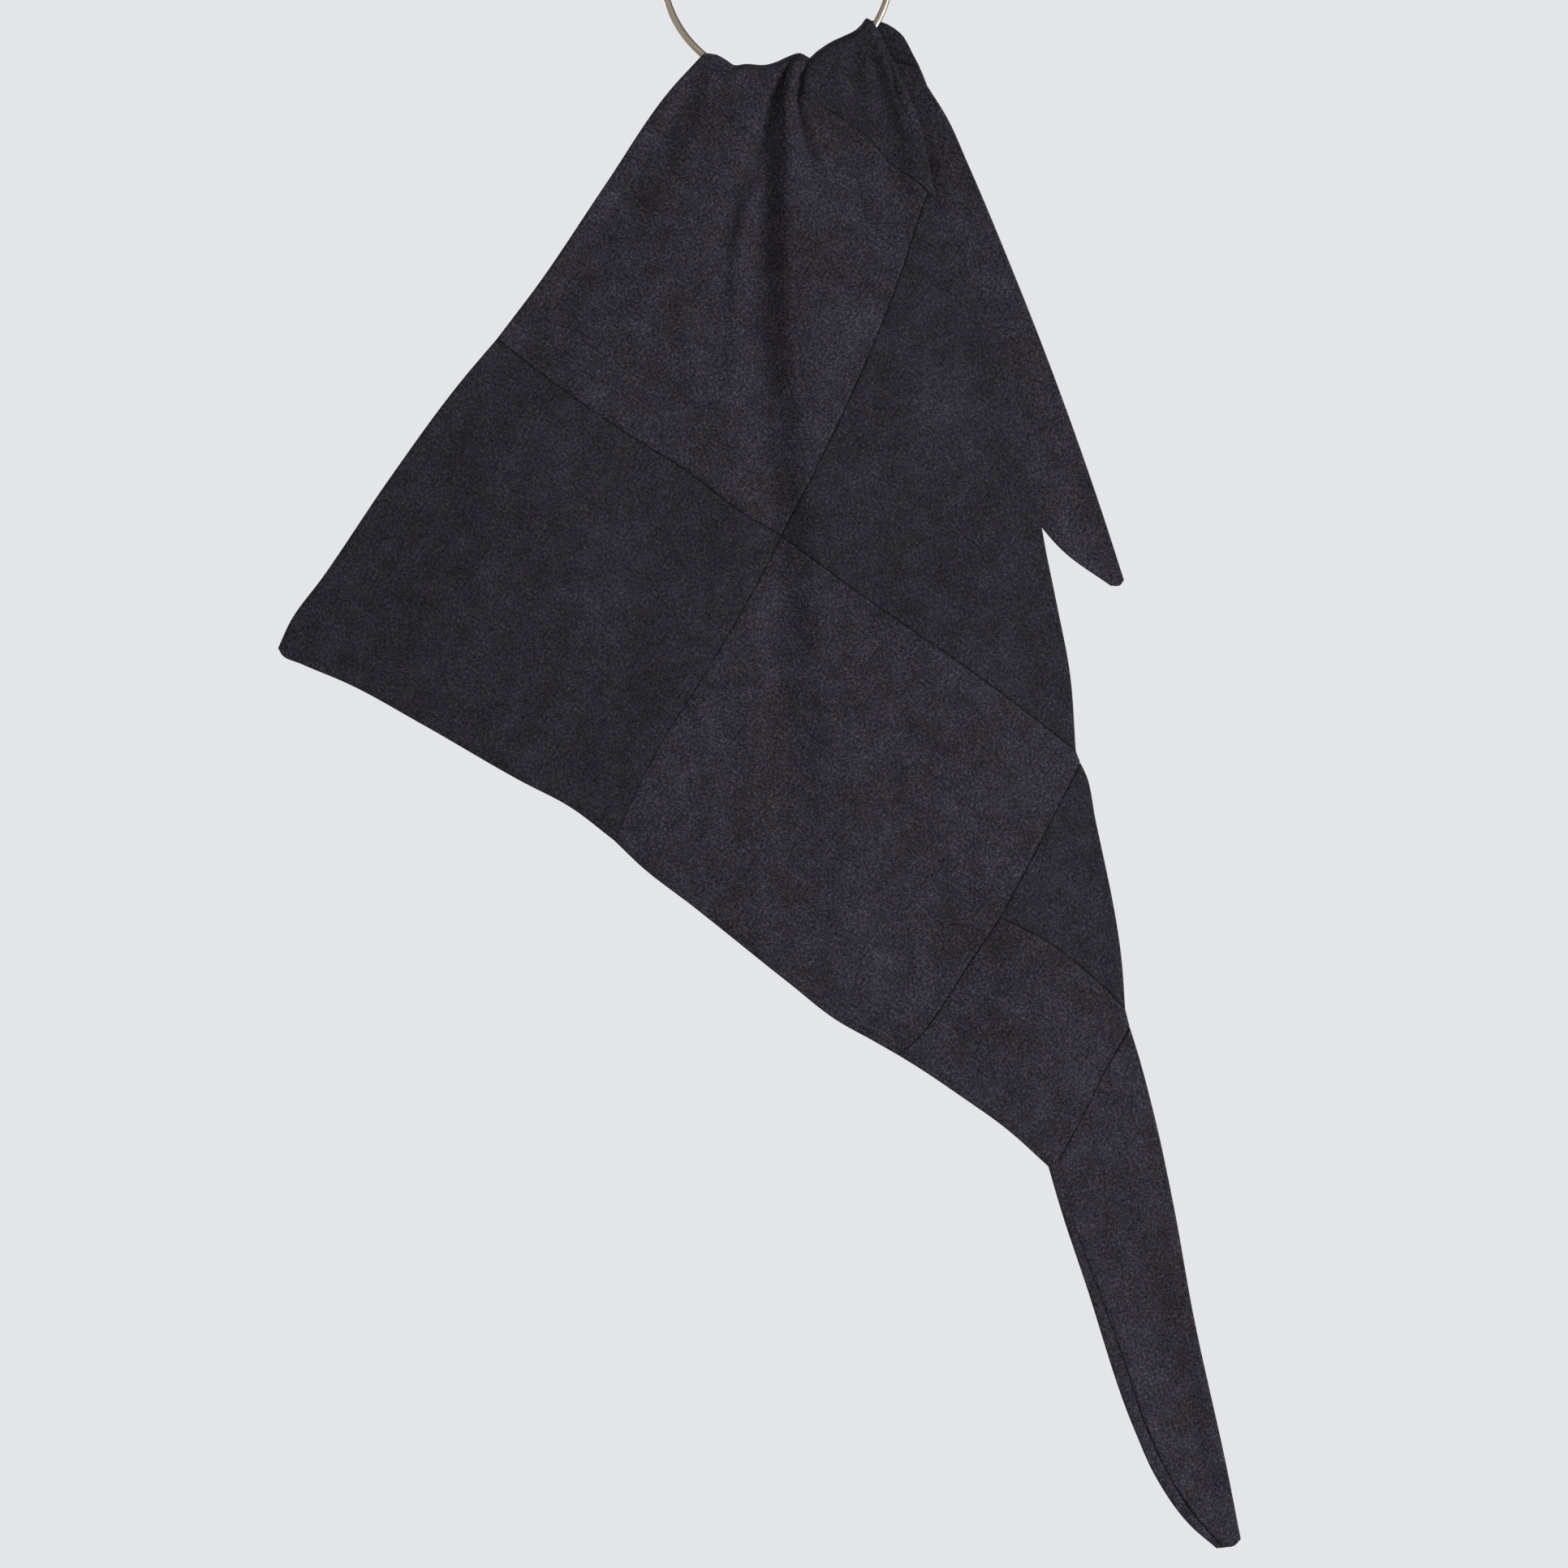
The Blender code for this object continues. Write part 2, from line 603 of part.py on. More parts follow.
def main():
    for thing in list(bpy.data.objects):
        bpy.data.objects.remove(thing, do_unlink=True)
    build_ring()
    for name in FOUR_SIDED:
        build_four_sided(name)
    for name in THREE_SIDED:
        build_three_sided(name)


main()
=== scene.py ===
"""Looks for the patchwork neckerchief that is pulled over a hanging ring.

The cloth pieces are thin closed shells on the same lines, hang and folds as the solids, at a finer step,
with the seams, hem and small creases on top. Tables are in millimetres: "across" is to the right of the
ring's middle, "down" is below its inner top.
"""

import math

import bpy
import numpy as np
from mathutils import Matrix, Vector, noise


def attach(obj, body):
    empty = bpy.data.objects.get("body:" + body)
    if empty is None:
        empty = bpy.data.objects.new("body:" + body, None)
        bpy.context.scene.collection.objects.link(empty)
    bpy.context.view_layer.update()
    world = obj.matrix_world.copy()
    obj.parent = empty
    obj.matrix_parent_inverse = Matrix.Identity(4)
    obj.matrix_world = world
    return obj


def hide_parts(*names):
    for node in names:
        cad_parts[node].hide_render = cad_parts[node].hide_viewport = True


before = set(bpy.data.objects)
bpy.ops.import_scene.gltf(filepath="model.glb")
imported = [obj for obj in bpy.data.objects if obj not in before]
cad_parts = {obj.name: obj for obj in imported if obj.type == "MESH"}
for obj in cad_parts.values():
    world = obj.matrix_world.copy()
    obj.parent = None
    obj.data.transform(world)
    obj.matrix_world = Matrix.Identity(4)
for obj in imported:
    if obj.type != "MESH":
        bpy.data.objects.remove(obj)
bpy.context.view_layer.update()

MM = 0.001

# The ring
RING_RADIUS = 99.0
ROD_RADIUS = 3.1
RING_STEPS = 240
ROD_STEPS = 28

# The cloth: two layers, bagged out
WALL = 2.6
ROLL = 9.0
GRID_STEP = 2.8
EDGE_STATIONS = (0.0, 0.35, 0.8, 1.4, 2.2, 3.2, 4.4, 5.4, 6.2, 7.2)
SEAM_TONGUE = 0.08

# Sewn corners as they hang: across, down
CORNERS = {
    "point": (-430.0, 685.0),
    "left": (-241.0, 418.5),
    "cross": (4.0, 588.0),
    "foot": (-140.4, 850.6),
    "shoulder": (-66.5, 177.0),
    "throat": (20.5, 210.5),
    "neck": (130.0, 293.0),
    "neck_edge": (137.5, 300.0),
    "side_upper": (258.0, 773.5),
    "side_lower": (262.0, 784.0),
    "inner": (192.5, 917.0),
    "hem": (104.9, 1035.9),
    "hip_upper": (300.5, 996.0),
    "hip_lower": (304.5, 1012.0),
    "heel": (243.5, 1125.5),
    "root": (234.0, 1131.5),
    "tip_left": (379.5, 1461.5),
    "tip_seam": (385.0, 1461.0),
    "tip_right": (400.5, 1453.5),
    "crest_left": (-54.0, 173.0),
    "crest_middle": (28.5, 175.5),
    "crest_right": (78.5, 141.5),
    "nape_upper": (124.3, 182.0),
    "nape_lower": (130.5, 197.5),
    "back_root": (40.5, 286.0),
    "back_tip_left": (289.0, 630.5),
    "back_tip_right": (300.5, 625.5),
}

# Lines between corners. name: (start, end, kind, [(across, down) between the ends])
LINES = {
    "edge_corner": ("point", "left", "edge", [(-420, 663), (-391, 623), (-334, 539), (-272, 455)]),
    "edge_upper": ("left", "shoulder", "edge", [(-205, 371), (-148, 287), (-90, 203)]),
    "hem_corner": (
        "point", "foot", "hem",
        [(-426, 691.2), (-410.6, 698.3), (-368, 716.4), (-305, 751), (-220.6, 799.6), (-178.3, 822)],
    ),
    "hem_lower": (
        "foot", "hem", "hem", [(-116.2, 873.7), (-74.3, 906), (9.6, 973), (52, 1006), (83.4, 1023.6)],
    ),
    "hem_strip": ("hem", "root", "hem", [(121.3, 1046), (156.3, 1069.6), (198.3, 1099.6)]),
    "tail_inner": (
        "root", "tip_left", "edge", [(245, 1169), (266, 1232), (308, 1358), (327, 1400), (357, 1442)],
    ),
    "tail_outer": (
        "hip_lower", "tip_right", "edge",
        [(309, 1026), (325, 1085), (343, 1169), (358, 1253), (390, 1400)],
    ),
    "tail_roll": (
        "heel", "tip_seam", "seam",
        [(254, 1173), (279, 1243), (299, 1298.5), (317, 1352.5), (341.5, 1404.5), (357, 1428.5)],
    ),
    "tip_turned": ("tip_left", "tip_seam", "edge", []),
    "tip": ("tip_seam", "tip_right", "edge", [(395, 1459)]),
    "long_edge_upper": (
        "neck_edge", "side_upper", "edge",
        [(159, 354), (192, 430), (216, 506), (224, 544), (229, 583), (241, 644), (253, 707)],
    ),
    "side_edge": ("side_lower", "side_upper", "edge", []),
    "long_edge_lower": ("side_lower", "hip_upper", "edge", [(266, 792), (275, 833), (298, 959)]),
    "hip_edge": ("hip_lower", "hip_upper", "edge", []),
    "upper_corner": (
        "left", "cross", "seam", [(-191, 457.5), (-130, 499.5), (-74, 534.5), (-31.5, 567)],
    ),
    "upper_middle": (
        "cross", "neck", "seam", [(22.5, 552.5), (58, 480), (90, 406.5), (109, 356), (125.5, 305)],
    ),
    "neck_seam": ("neck", "neck_edge", "seam", []),
    "upper_gusset": (
        "throat", "neck", "seam", [(33, 216), (56.5, 230), (78.5, 246.5), (97, 267), (119.5, 283)],
    ),
    "upper_strip": ("shoulder", "throat", "pressed", [(-50, 192), (-29, 202), (-5, 209)]),
    "corner_lower": ("foot", "cross", "seam", [(-124.5, 815), (-99.5, 766), (-70, 719.5), (-28, 649)]),
    "lower_middle": ("cross", "side_upper", "seam", [(57.5, 628), (122.5, 673.5), (188, 719.5)]),
    "lower_gusset": ("inner", "side_lower", "seam", [(215, 875), (243, 820.5)]),
    "lower_strip": ("hem", "inner", "seam", [(126.5, 1016), (136, 1003), (168.5, 952.5)]),
    "gusset_strip": ("inner", "hip_upper", "seam", [(232.5, 937.5), (276.5, 972)]),
    "strip_tail": ("heel", "hip_lower", "seam", [(262, 1090.5), (286.5, 1042.5)]),
    "strip_turned": ("root", "heel", "pressed", []),
    "crest_strip": ("crest_left", "crest_middle", "crest", [(-36, 183), (-9, 182), (9, 175), (20, 172)]),
    "crest_gusset": ("crest_middle", "crest_right", "crest", [(37, 169), (48, 162), (69, 152)]),
    "shoulder_front": ("shoulder", "crest_left", "edge", [(-62, 173)]),
    "throat_front": ("throat", "crest_middle", "seam", [(24, 189)]),
    "neck_front": (
        "neck_edge", "crest_right", "edge", [(130.5, 268), (122, 231), (111, 205), (94, 168), (85, 149)],
    ),
    "shoulder_back": ("back_root", "crest_left", "edge", [(-12, 245), (-42, 205)]),
    "throat_back": ("nape_upper", "crest_middle", "seam", [(99, 176), (72, 185), (44, 189)]),
    "nape_back": ("nape_upper", "crest_right", "edge", [(119, 172), (107, 152), (89, 142)]),
    "nape_edge": ("nape_lower", "nape_upper", "edge", []),
    "back_strip_tail": ("back_root", "nape_lower", "seam", [(84, 246)]),
    "back_tail_outer": (
        "back_tip_right", "nape_lower", "edge",
        [(279, 560), (234, 434), (201, 350), (166, 266), (147, 224)],
    ),
    "back_tail_inner": (
        "back_tip_left", "back_root", "edge", [(250, 603), (189, 518), (145, 444), (93, 360)],
    ),
    "back_tip": ("back_tip_left", "back_tip_right", "edge", [(297, 630)]),
}

# The pieces: finish, nodes stood for, flat width and length in metres, flat area (None for a rectangle),
# then one part or, over the ring, two: sheet, lines of the bottom, top, left and right. An empty side is a
# point.
PIECES = {
    "square_upper": (
        "plum_twill", ["patch_upper"], (0.341, 0.341), None,
        [("front", ["upper_corner"], ["upper_strip", "upper_gusset"], ["edge_upper"], ["upper_middle"])],
    ),
    "square_corner": (
        "charcoal_felt", ["patch_corner"], (0.341, 0.341), None,
        [("front", ["hem_corner"], ["upper_corner"], ["edge_corner"], ["corner_lower"])],
    ),
    "square_lower": (
        "plum_twill", ["patch_lower"], (0.341, 0.341), None,
        [(
            "front", ["hem_lower"], ["lower_middle"], ["corner_lower"],
            ["lower_strip", "lower_gusset", "side_edge"],
        )],
    ),
    "triangle_middle": (
        "charcoal_felt", ["patch_middle"], (0.345, 0.345), 0.0595,
        [("front", ["lower_middle"], ["upper_middle"], [], ["neck_seam", "long_edge_upper"])],
    ),
    "triangle_front_tie": (
        "charcoal_felt", ["gusset_lower"], (0.172, 0.172), 0.0148,
        [("front", ["gusset_strip"], ["lower_gusset"], [], ["long_edge_lower"])],
    ),
    "strip_front_tie": (
        "plum_twill", ["strip_lower"], (0.17, 0.17), None,
        [(
            "front", ["hem_strip"], ["gusset_strip"], ["lower_strip"],
            ["strip_turned", "strip_tail", "hip_edge"],
        )],
    ),
    "tie_front": (
        "plum_twill", ["tail_front"], (0.15, 0.5), 0.0375,
        [("front", ["tail_roll"], ["tail_outer"], ["strip_tail"], ["tip"])],
    ),
    "tie_front_backing": (
        "plum_twill", ["tail_front_turned_edge"], (0.0115, 0.385), None,
        [("front", ["tail_inner"], ["tail_roll"], ["strip_turned"], ["tip_turned"])],
    ),
    "triangle_back_tie": (
        "charcoal_felt", ["gusset_upper_front", "gusset_upper_back"], (0.172, 0.172), 0.0148,
        [
            ("front", ["upper_gusset", "neck_seam"], ["crest_gusset"], ["throat_front"], ["neck_front"]),
            ("back", [], ["crest_gusset"], ["throat_back"], ["nape_back"]),
        ],
    ),
    "strip_back_tie": (
        "plum_twill", ["strip_upper_front", "strip_upper_back"], (0.12, 0.15), None,
        [
            ("front", ["upper_strip"], ["crest_strip"], ["shoulder_front"], ["throat_front"]),
            ("back", ["back_strip_tail"], ["crest_strip"], ["shoulder_back"], ["nape_edge", "throat_back"]),
        ],
    ),
    "tie_back": (
        "plum_twill", ["tail_back"], (0.15, 0.5), 0.0375,
        [("back", ["back_tip"], ["back_strip_tail"], ["back_tail_inner"], ["back_tail_outer"])],
    ),
}

# The direction of each piece's weft, in degrees down from the right
GRAINS = {
    "square_upper": 34.0,
    "square_corner": 33.0,
    "square_lower": 37.0,
    "triangle_middle": 35.0,
    "triangle_front_tie": 36.0,
    "strip_front_tie": 34.0,
    "tie_front": 76.0,
    "tie_front_backing": 74.0,
    "triangle_back_tie": 30.0,
    "strip_back_tie": 28.0,
    "tie_back": 72.0,
}

# How plain the stitching above the hem and its painted shade show: distance along the line, strength
HEM_STITCHING = {
    "hem_corner": [(0, 0.15), (200, 0.2), (335, 0.3)],
    "hem_lower": [(0, 0.3), (90, 0.3), (180, 0.6), (215, 0.9), (250, 1.0), (308, 1.0)],
    "hem_strip": [(0, 1.0), (60, 0.8), (161, 0.5)],
}

# How plain a seam's groove and its painted shade show at its start and end, where it isn't even
SEAM_DEPTHS = {
    "upper_gusset": (0.25, 1.0),
    "throat_front": (0.4, 1.0),
    "corner_lower": (0.4, 0.85),
    "upper_middle": (1.0, 0.75),
    "back_strip_tail": (0.9, 0.2),
    "tail_roll": (0.25, 1.25),
}
EVEN_SEAM = (0.9, 0.9)
PRESSED_SEAM = (0.12, 0.12)

# Spots of raised pile, paler and bluer, and where negative painted shade in fold troughs and seam corners:
# across, down, half width, half height, strength
NAP_AND_SHADE_SPOTS = [
    (139, 486, 26, 34, 1.0), (-15, 650, 20, 26, 0.5), (70, 404, 22, 24, 0.6), (-80, 666, 26, 40, 0.5),
    (-80, 790, 30, 40, 0.6), (50, 330, 30, 30, -0.3), (120, 640, 50, 40, -0.3), (-18, 606, 16, 16, -0.5),
    (187, 918, 30, 34, -0.5), (206, 972, 30, 44, -0.5), (280, 1180, 26, 90, -0.3), (-176, 517, 60, 60, 0.3),
    (-140, 650, 30, 60, 0.4), (98, 931, 40, 40, 0.4), (150, 845, 30, 40, 0.4), (-32, 299, 16, 20, -0.3),
]

# The side of a seam that its allowances are pressed to
PRESSED_TO = {
    "upper_middle": "square_upper",
    "upper_corner": "square_upper",
    "lower_middle": "square_lower",
    "corner_lower": "square_lower",
    "upper_gusset": "square_upper",
    "lower_gusset": "square_lower",
    "lower_strip": "square_lower",
    "gusset_strip": "strip_front_tie",
    "strip_tail": "strip_front_tie",
    "tail_roll": "tie_front",
    "throat_front": "triangle_back_tie",
    "throat_back": "triangle_back_tie",
    "back_strip_tail": "strip_back_tie",
}

# How far each sheet's middle lies from the ring's plane, out towards its own side: down, out
HANGS = {
    "front": [
        (130, 14), (175, 15), (210, 18), (240, 18), (300, 16), (400, 13), (520, 10), (700, 8), (900, 8),
        (1050, 8), (1200, 9), (1350, 8), (1465, 5),
    ],
    "back": [(130, 8), (200, 8), (260, 7), (340, 4.5), (440, 2.5), (540, 1.5), (640, 1.5)],
}

# The top of the roll over the rod: across, down
CREST = [
    (-70, 169), (-60, 170.5), (-54, 172.7), (-45, 177.3), (-36.5, 182.4), (-27, 181.5), (-9, 182),
    (0, 179.5), (9, 175.5), (20, 172), (28.5, 175.5), (37, 169), (48, 162), (58, 157.5), (69, 152),
    (74, 147.5), (78.5, 141.5), (84, 138.5), (90, 136.5), (100, 135.5), (135, 135.5),
]

# Folds. A trough has a negative rise. Each runs along its rows, with its half widths to the left and right
# of its line: down, across, rise, left, right
FRONT_FOLDS = [
    # the main pleat, its shallow left part and the ridge beside it
    [
        (179, 12, 0, 4, 3), (186, 9.5, -4, 5, 3.5), (194, 7, -6.5, 8, 4), (207, 3.5, -7.5, 14, 5),
        (220, 0.5, -7.5, 18, 6), (233, -4, -7.5, 20, 9), (250, -14, -6.8, 22, 12), (270, -23, -6.8, 24, 15),
        (295, -32, -6.4, 26, 16), (325, -40.5, -5.4, 28, 15), (360, -45, -4.6, 32, 14),
        (395, -46, -4, 34, 14), (440, -48, -2.6, 36, 16), (500, -48, 0, 38, 20),
    ],
    [
        (226, 0, 0, 8, 6), (240, -3, -4, 11, 8), (258, -6, -6, 15, 11), (285, -9, -7.2, 19, 15),
        (310, -11, -7.6, 23, 20), (336, -13, -8, 26, 25), (378, -15, -7.8, 28, 30), (427, -15, -7, 30, 32),
        (490, -9, -6.2, 32, 35), (588, 0, -5.5, 34, 36), (686, 4, -5, 35, 38), (756, 6, -4, 38, 42),
        (896, 19, -3, 42, 46), (1005, 25, 0, 45, 45),
    ],
    [
        (177, 18, 0, 4, 4), (184, 16, 2.5, 4, 6), (194, 12.5, 4.5, 5, 8), (207, 10, 5.5, 5.5, 13),
        (220, 8.5, 6.5, 6, 20), (238, 9, 7, 8, 40), (266, 12, 6.8, 14, 56), (301, 14, 6.2, 22, 66),
        (350, 15, 5.2, 27, 76), (427, 17, 4.2, 30, 84), (546, 28, 3.5, 36, 88), (700, 42, 3, 42, 90),
        (826, 51, 2, 46, 90), (960, 55, 0, 50, 86),
    ],
    # the short pleats under the rod
    [
        (178, 27, 0, 4, 6), (186, 23.5, -2.5, 4, 7), (194, 19, -4, 5, 7), (203, 18, -5, 5, 8),
        (213, 16, -6.6, 7, 8), (225, 18, -7, 10, 9), (240, 21, -6.4, 14, 11), (258, 25, -5.4, 17, 13),
        (280, 30, -3.8, 20, 15), (305, 36, -1.6, 22, 18), (330, 40, 0, 24, 20),
    ],
    [
        (182, -64, 0, 12, 16), (200, -72, -3.4, 14, 20), (222, -84, -5, 16, 26), (245, -98, -5.4, 18, 32),
        (270, -113, -5.6, 20, 38), (300, -134, -5.5, 24, 46), (340, -158, -5, 30, 56),
        (400, -196, -4.2, 40, 76), (470, -236, -2, 46, 90), (540, -270, 0, 50, 90),
    ],
    [(158, 62, 0, 12, 13), (176, 65, -2.4, 12, 14), (204, 68, -2.8, 12, 15), (236, 72, 0, 12, 16)],
    [
        (172, 82, 0, 12, 12), (190, 88, -1.5, 14, 14), (220, 96, -2.4, 18, 17), (256, 104, -2.4, 22, 20),
        (300, 116, 0, 26, 26),
    ],
    # the long edge's lift and the wide flutes of the lower patches and the tie
    [
        (146, 80, 0, 12, 14), (160, 86, 3, 13, 13), (182, 96, 4.5, 15, 14), (215, 108, 5, 17, 16),
        (260, 117, 4.2, 20, 20), (300, 124, 3, 19, 26), (340, 134, 2, 24, 32), (400, 160, 0, 40, 46),
    ],
    [
        (330, -120, 0, 60, 60), (420, -160, 2.5, 70, 70), (560, -230, 4, 84, 84), (700, -300, 3.5, 90, 90),
        (820, -360, 0, 90, 90),
    ],
    [
        (440, -70, 0, 50, 60), (560, -100, -2.5, 60, 74), (700, -150, -4, 70, 90), (860, -190, -3, 76, 96),
        (980, -220, 0, 80, 100),
    ],
    [
        (620, 130, 0, 60, 70), (740, 150, 2.5, 66, 80), (900, 180, 4, 66, 80), (1040, 214, 3.5, 60, 76),
        (1180, 262, 0, 50, 60),
    ],
    [
        (1100, 262, 0, 30, 36), (1180, 296, -3, 34, 40), (1290, 330, -4, 36, 40), (1390, 362, -2, 34, 36),
        (1460, 388, 0, 30, 30),
    ],
]
BACK_FOLDS = [
    [
        (190, -10, 0, 26, 30), (215, -2, 3, 28, 34), (250, 20, 3, 30, 36), (300, 62, 2, 34, 40),
        (380, 110, 0, 36, 44),
    ],
    [
        (165, 100, 0, 16, 20), (190, 112, 3, 20, 24), (240, 138, 3, 26, 30), (320, 172, 1.5, 32, 34),
        (420, 214, 0, 34, 34),
    ],
    [(480, 214, 0, 30, 40), (540, 246, 2, 34, 40), (600, 276, 4, 36, 40), (640, 300, 5, 36, 40)],
]

# Small soft creases, with the same columns
FRONT_CREASES = [
    [(600, -30, 0, 14, 16), (630, -26, 1.0, 15, 15), (662, -20, 0.8, 16, 14), (700, -16, 0, 18, 16)],
    [(716, -72, 0, 18, 18), (745, -62, 0.9, 18, 18), (785, -52, 0.8, 18, 18), (826, -44, 0, 20, 20)],
    [(880, 96, 0, 20, 22), (915, 110, 1.1, 22, 24), (952, 126, 0.9, 22, 24), (1000, 142, 0, 24, 24)],
    [
        (160, 87, 0, 4, 3), (183, 97, -1.1, 5, 3.5), (210, 104, -1.5, 5, 3.5), (226, 110.5, -1.2, 5, 4),
        (246, 119, 0, 6, 5),
    ],
    [(232, 52, 0, 9, 10), (262, 60, -1.1, 10, 12), (300, 66, -0.8, 12, 13), (342, 70, 0, 14, 16)],
    [(250, 88, 0, 8, 9), (280, 84, 0.8, 9, 10), (318, 86, 0.6, 12, 12), (350, 90, 0, 12, 14)],
    [(380, 150, 0, 16, 18), (430, 160, -1.2, 18, 20), (492, 176, -0.9, 20, 22), (545, 186, 0, 22, 22)],
    [(440, -196, 0, 18, 22), (500, -224, 1.0, 20, 24), (560, -262, 0.7, 22, 26), (610, -290, 0, 24, 26)],
    [(640, -262, 0, 22, 24), (690, -292, -1.0, 24, 24), (735, -330, -0.7, 24, 26), (765, -352, 0, 24, 26)],
    [(1128, 268, 0, 12, 14), (1165, 280, 0.9, 12, 14), (1215, 300, 0.7, 13, 14), (1262, 318, 0, 14, 14)],
    [(1300, 352, 0, 12, 12), (1340, 358, -0.8, 12, 12), (1380, 368, -0.6, 12, 12), (1420, 380, 0, 12, 12)],
]
BACK_CREASES = [
    [(300, 96, 0, 14, 15), (340, 112, -1.0, 15, 16), (396, 140, -0.8, 16, 16), (440, 164, 0, 16, 16)],
    [(232, 70, 0, 12, 13), (262, 88, 1.0, 13, 14), (300, 112, 0.7, 13, 14), (336, 132, 0, 14, 14)],
    [(440, 196, 0, 12, 12), (480, 214, 0.7, 12, 12), (530, 240, 0.6, 12, 12), (570, 262, 0, 12, 12)],
]

# Relief, and painted shade in the seam and stitch grooves, beside a line of the cloth: strength, distance
# from the line, half width
SEAM_GROOVE = [(0.85, 0.0, 0.55), (0.2, 0.0, 2.4)]
SEAM_PAINTED_SHADE = [(1.0, 0.0, 0.65)]
PRESSED_ALLOWANCE = [(0.24, 4.5, 4.0)]
TURNED_EDGE = [(0.12, 5.5, 5.0)]
STITCHED_RIDGE = [(0.25, 6.2, 1.0), (-0.55, 4.9, 0.8)]
STITCH_PAINTED_SHADE = [(1.0, 4.9, 0.7)]
STITCH_PAINTED_SHADE_STRENGTH = 0.3
EDGE_ROUNDING = 1.6

# The painted shade in the crease where the back layer passes behind the front one, with the same columns
BACK_CREASE_PAINTED_SHADE = [(0.5, 0.0, 9.0)]

# Unevenness of the cloth: height, size, seed
OUTER_RIPPLES = [(0.45, 58.0, 3.1), (0.16, 21.0, 7.7)]
INNER_RIPPLES = [(0.4, 52.0, 11.3)]
SEAM_RIPPLES = [(0.25, 17.0, 4.4)]
PUCKERS = [(0.3, 9.0, 5.5)]
PUCKER_REACH = 6.0
INNER_PUCKERS = 0.7

# Steps along curves and sides. A side shorter than SHORT_SIDE has its stations drawn together
SPAN_STEPS = 20
SLOPE_STEP = 0.05
LINE_STEP = 3.0
FEWEST_STEPS = 6
SHORT_SIDE = 4.0 * EDGE_STATIONS[-1]

# Points this close to a line lie on it, and points this close to each other are one
ON_LINE = 0.02
SAME_POINT = 1e-6

# Surfaces: roughness, metallic share, specular level
CLOTH_SURFACE = (0.95, 0.0, 0.03)
METAL_SURFACE = (0.2, 1.0, 0.5)
FLOOR_SURFACE = (0.8, 0.0, 0.3)

# Spots on the cloth: how many to a millimetre, detail, roughness
FLECKS = (0.42, 3.0, 0.95)
CLOUDS = (0.05, 3.0, 0.9)
WORN_SPOTS = (0.016, 2.0, 0.5)
HUES = (0.11, 3.0, 0.8)
SPOT_RANGE = (0.3, 0.7)

# Yarn. A wave pattern repeats once in a unit of length at WAVE_SCALE
WAVE_SCALE = 2.0 * math.pi / 20.0
YARN_UNEVENNESS = {"Distortion": 1.6, "Detail": 1.0, "Detail Scale": 0.5}

# The flecks' share in the fine relief, and its depth in metres
FLECK_HEIGHT = 0.8
CLOTH_RELIEF = 0.4 * MM

# What the marks do to the cloth's colour: painted shade in the seams, stitch lines and back crease, the
# spots of raised pile with their painted shade, and the wear
PAINTED_SEAM_SHADE = 0.75
NAP_AND_SHADE_STRENGTH = 0.24
NAP_WEAR = 0.5

SHEEN_ROUGHNESS = 0.5
SHEEN_TINT = (0.55, 0.53, 0.64, 1.0)

# The cloths: strengths of spots, wear and yarn, periods of the yarn in millimetres, relief and sheen, the
# warm and cool hues, and the tints of fresh and worn cloth
CLOTH_LOOKS = {
    "plum_twill": {
        "flecks": 5.6, "clouds": 1.4, "wear": 0.15, "warp": 0.16, "weft": 0.22,
        "warp_period": 1.7, "weft_period": 2.5, "bump": 0.6, "sheen": 0.03,
        "warm": (0.0193, 0.0156, 0.0195), "cool": (0.0169, 0.0161, 0.0219),
        "fresh": (1.02, 0.99, 0.97), "worn": (0.98, 1.03, 1.05),
    },
    "charcoal_felt": {
        "flecks": 5.1, "clouds": 1.3, "wear": 0.12, "warp": 0.06, "weft": 0.06,
        "warp_period": 2.25, "weft_period": 1.7, "bump": 0.45, "sheen": 0.03,
        "warm": (0.0152, 0.0139, 0.0174), "cool": (0.0147, 0.0141, 0.0181),
        "fresh": (1.0, 0.99, 0.98), "worn": (0.99, 1.01, 1.02),
    },
}

# The metal, with spots as on the cloth but to a metre
METAL_DARK = (0.25, 0.195, 0.15, 1.0)
METAL_LIGHT = (0.42, 0.35, 0.28, 1.0)
STREAK_STRETCH = (12.0, 700.0, 1.0)
STREAKS = (1.0, 3.0, 0.6)
STREAK_RANGE = (0.35, 0.65)
STREAK_BUMP = 0.15
STREAK_RELIEF = 0.1 * MM
DULL_SPOTS = (90.0, 4.0, 0.6)
DULL_RANGE = (0.3, 0.8)
METAL_ROUGHNESS = (0.15, 0.3)

# A painted dark reflection of the cloth along the rod's inner side, and the distances around the rod from
# its outermost line, in metres, over which it comes and goes
PAINTED_REFLECTION = (0.075, 0.052, 0.042, 1.0)
PAINTED_REFLECTION_STRENGTH = 0.9
PAINTED_REFLECTION_START = (0.0098, 0.0112)
PAINTED_REFLECTION_END = (0.0135, 0.0120)

# The surroundings, in metres. Lights: name, place, size, power in watts
FLOOR_COLOUR = (0.50, 0.505, 0.52, 1.0)
FLOOR_HEIGHT = -2.0
FLOOR_RADIUS = 2.6
FLOOR_SIDES = 96
SURROUNDINGS_COLOUR = (0.775, 0.785, 0.81, 1.0)
LIGHT_AIM = (0.0, 0.0, -0.75)
LIGHTS = [
    ("key", (2.3, -1.65, -0.95), 1.0, 95.0),
    ("fill_behind", (-2.2, 2.6, 0.4), 1.8, 45.0),
]

# The camera is level. A pixel of the 1932 pixel frame covers 0.7 mm of the cloth's plane. Its distance, the
# cloth's plane and the middle of the view are in metres
FRAME_PIXELS = 1932
PIXEL_SIZE = 0.7
FRAME_WIDTH = FRAME_PIXELS * PIXEL_SIZE * MM
SENSOR_WIDTH = 36.0
CAMERA_BACK = 4.0
CLOTH_PLANE = -0.007
VIEW_CENTRE = (0.0063, -0.802)


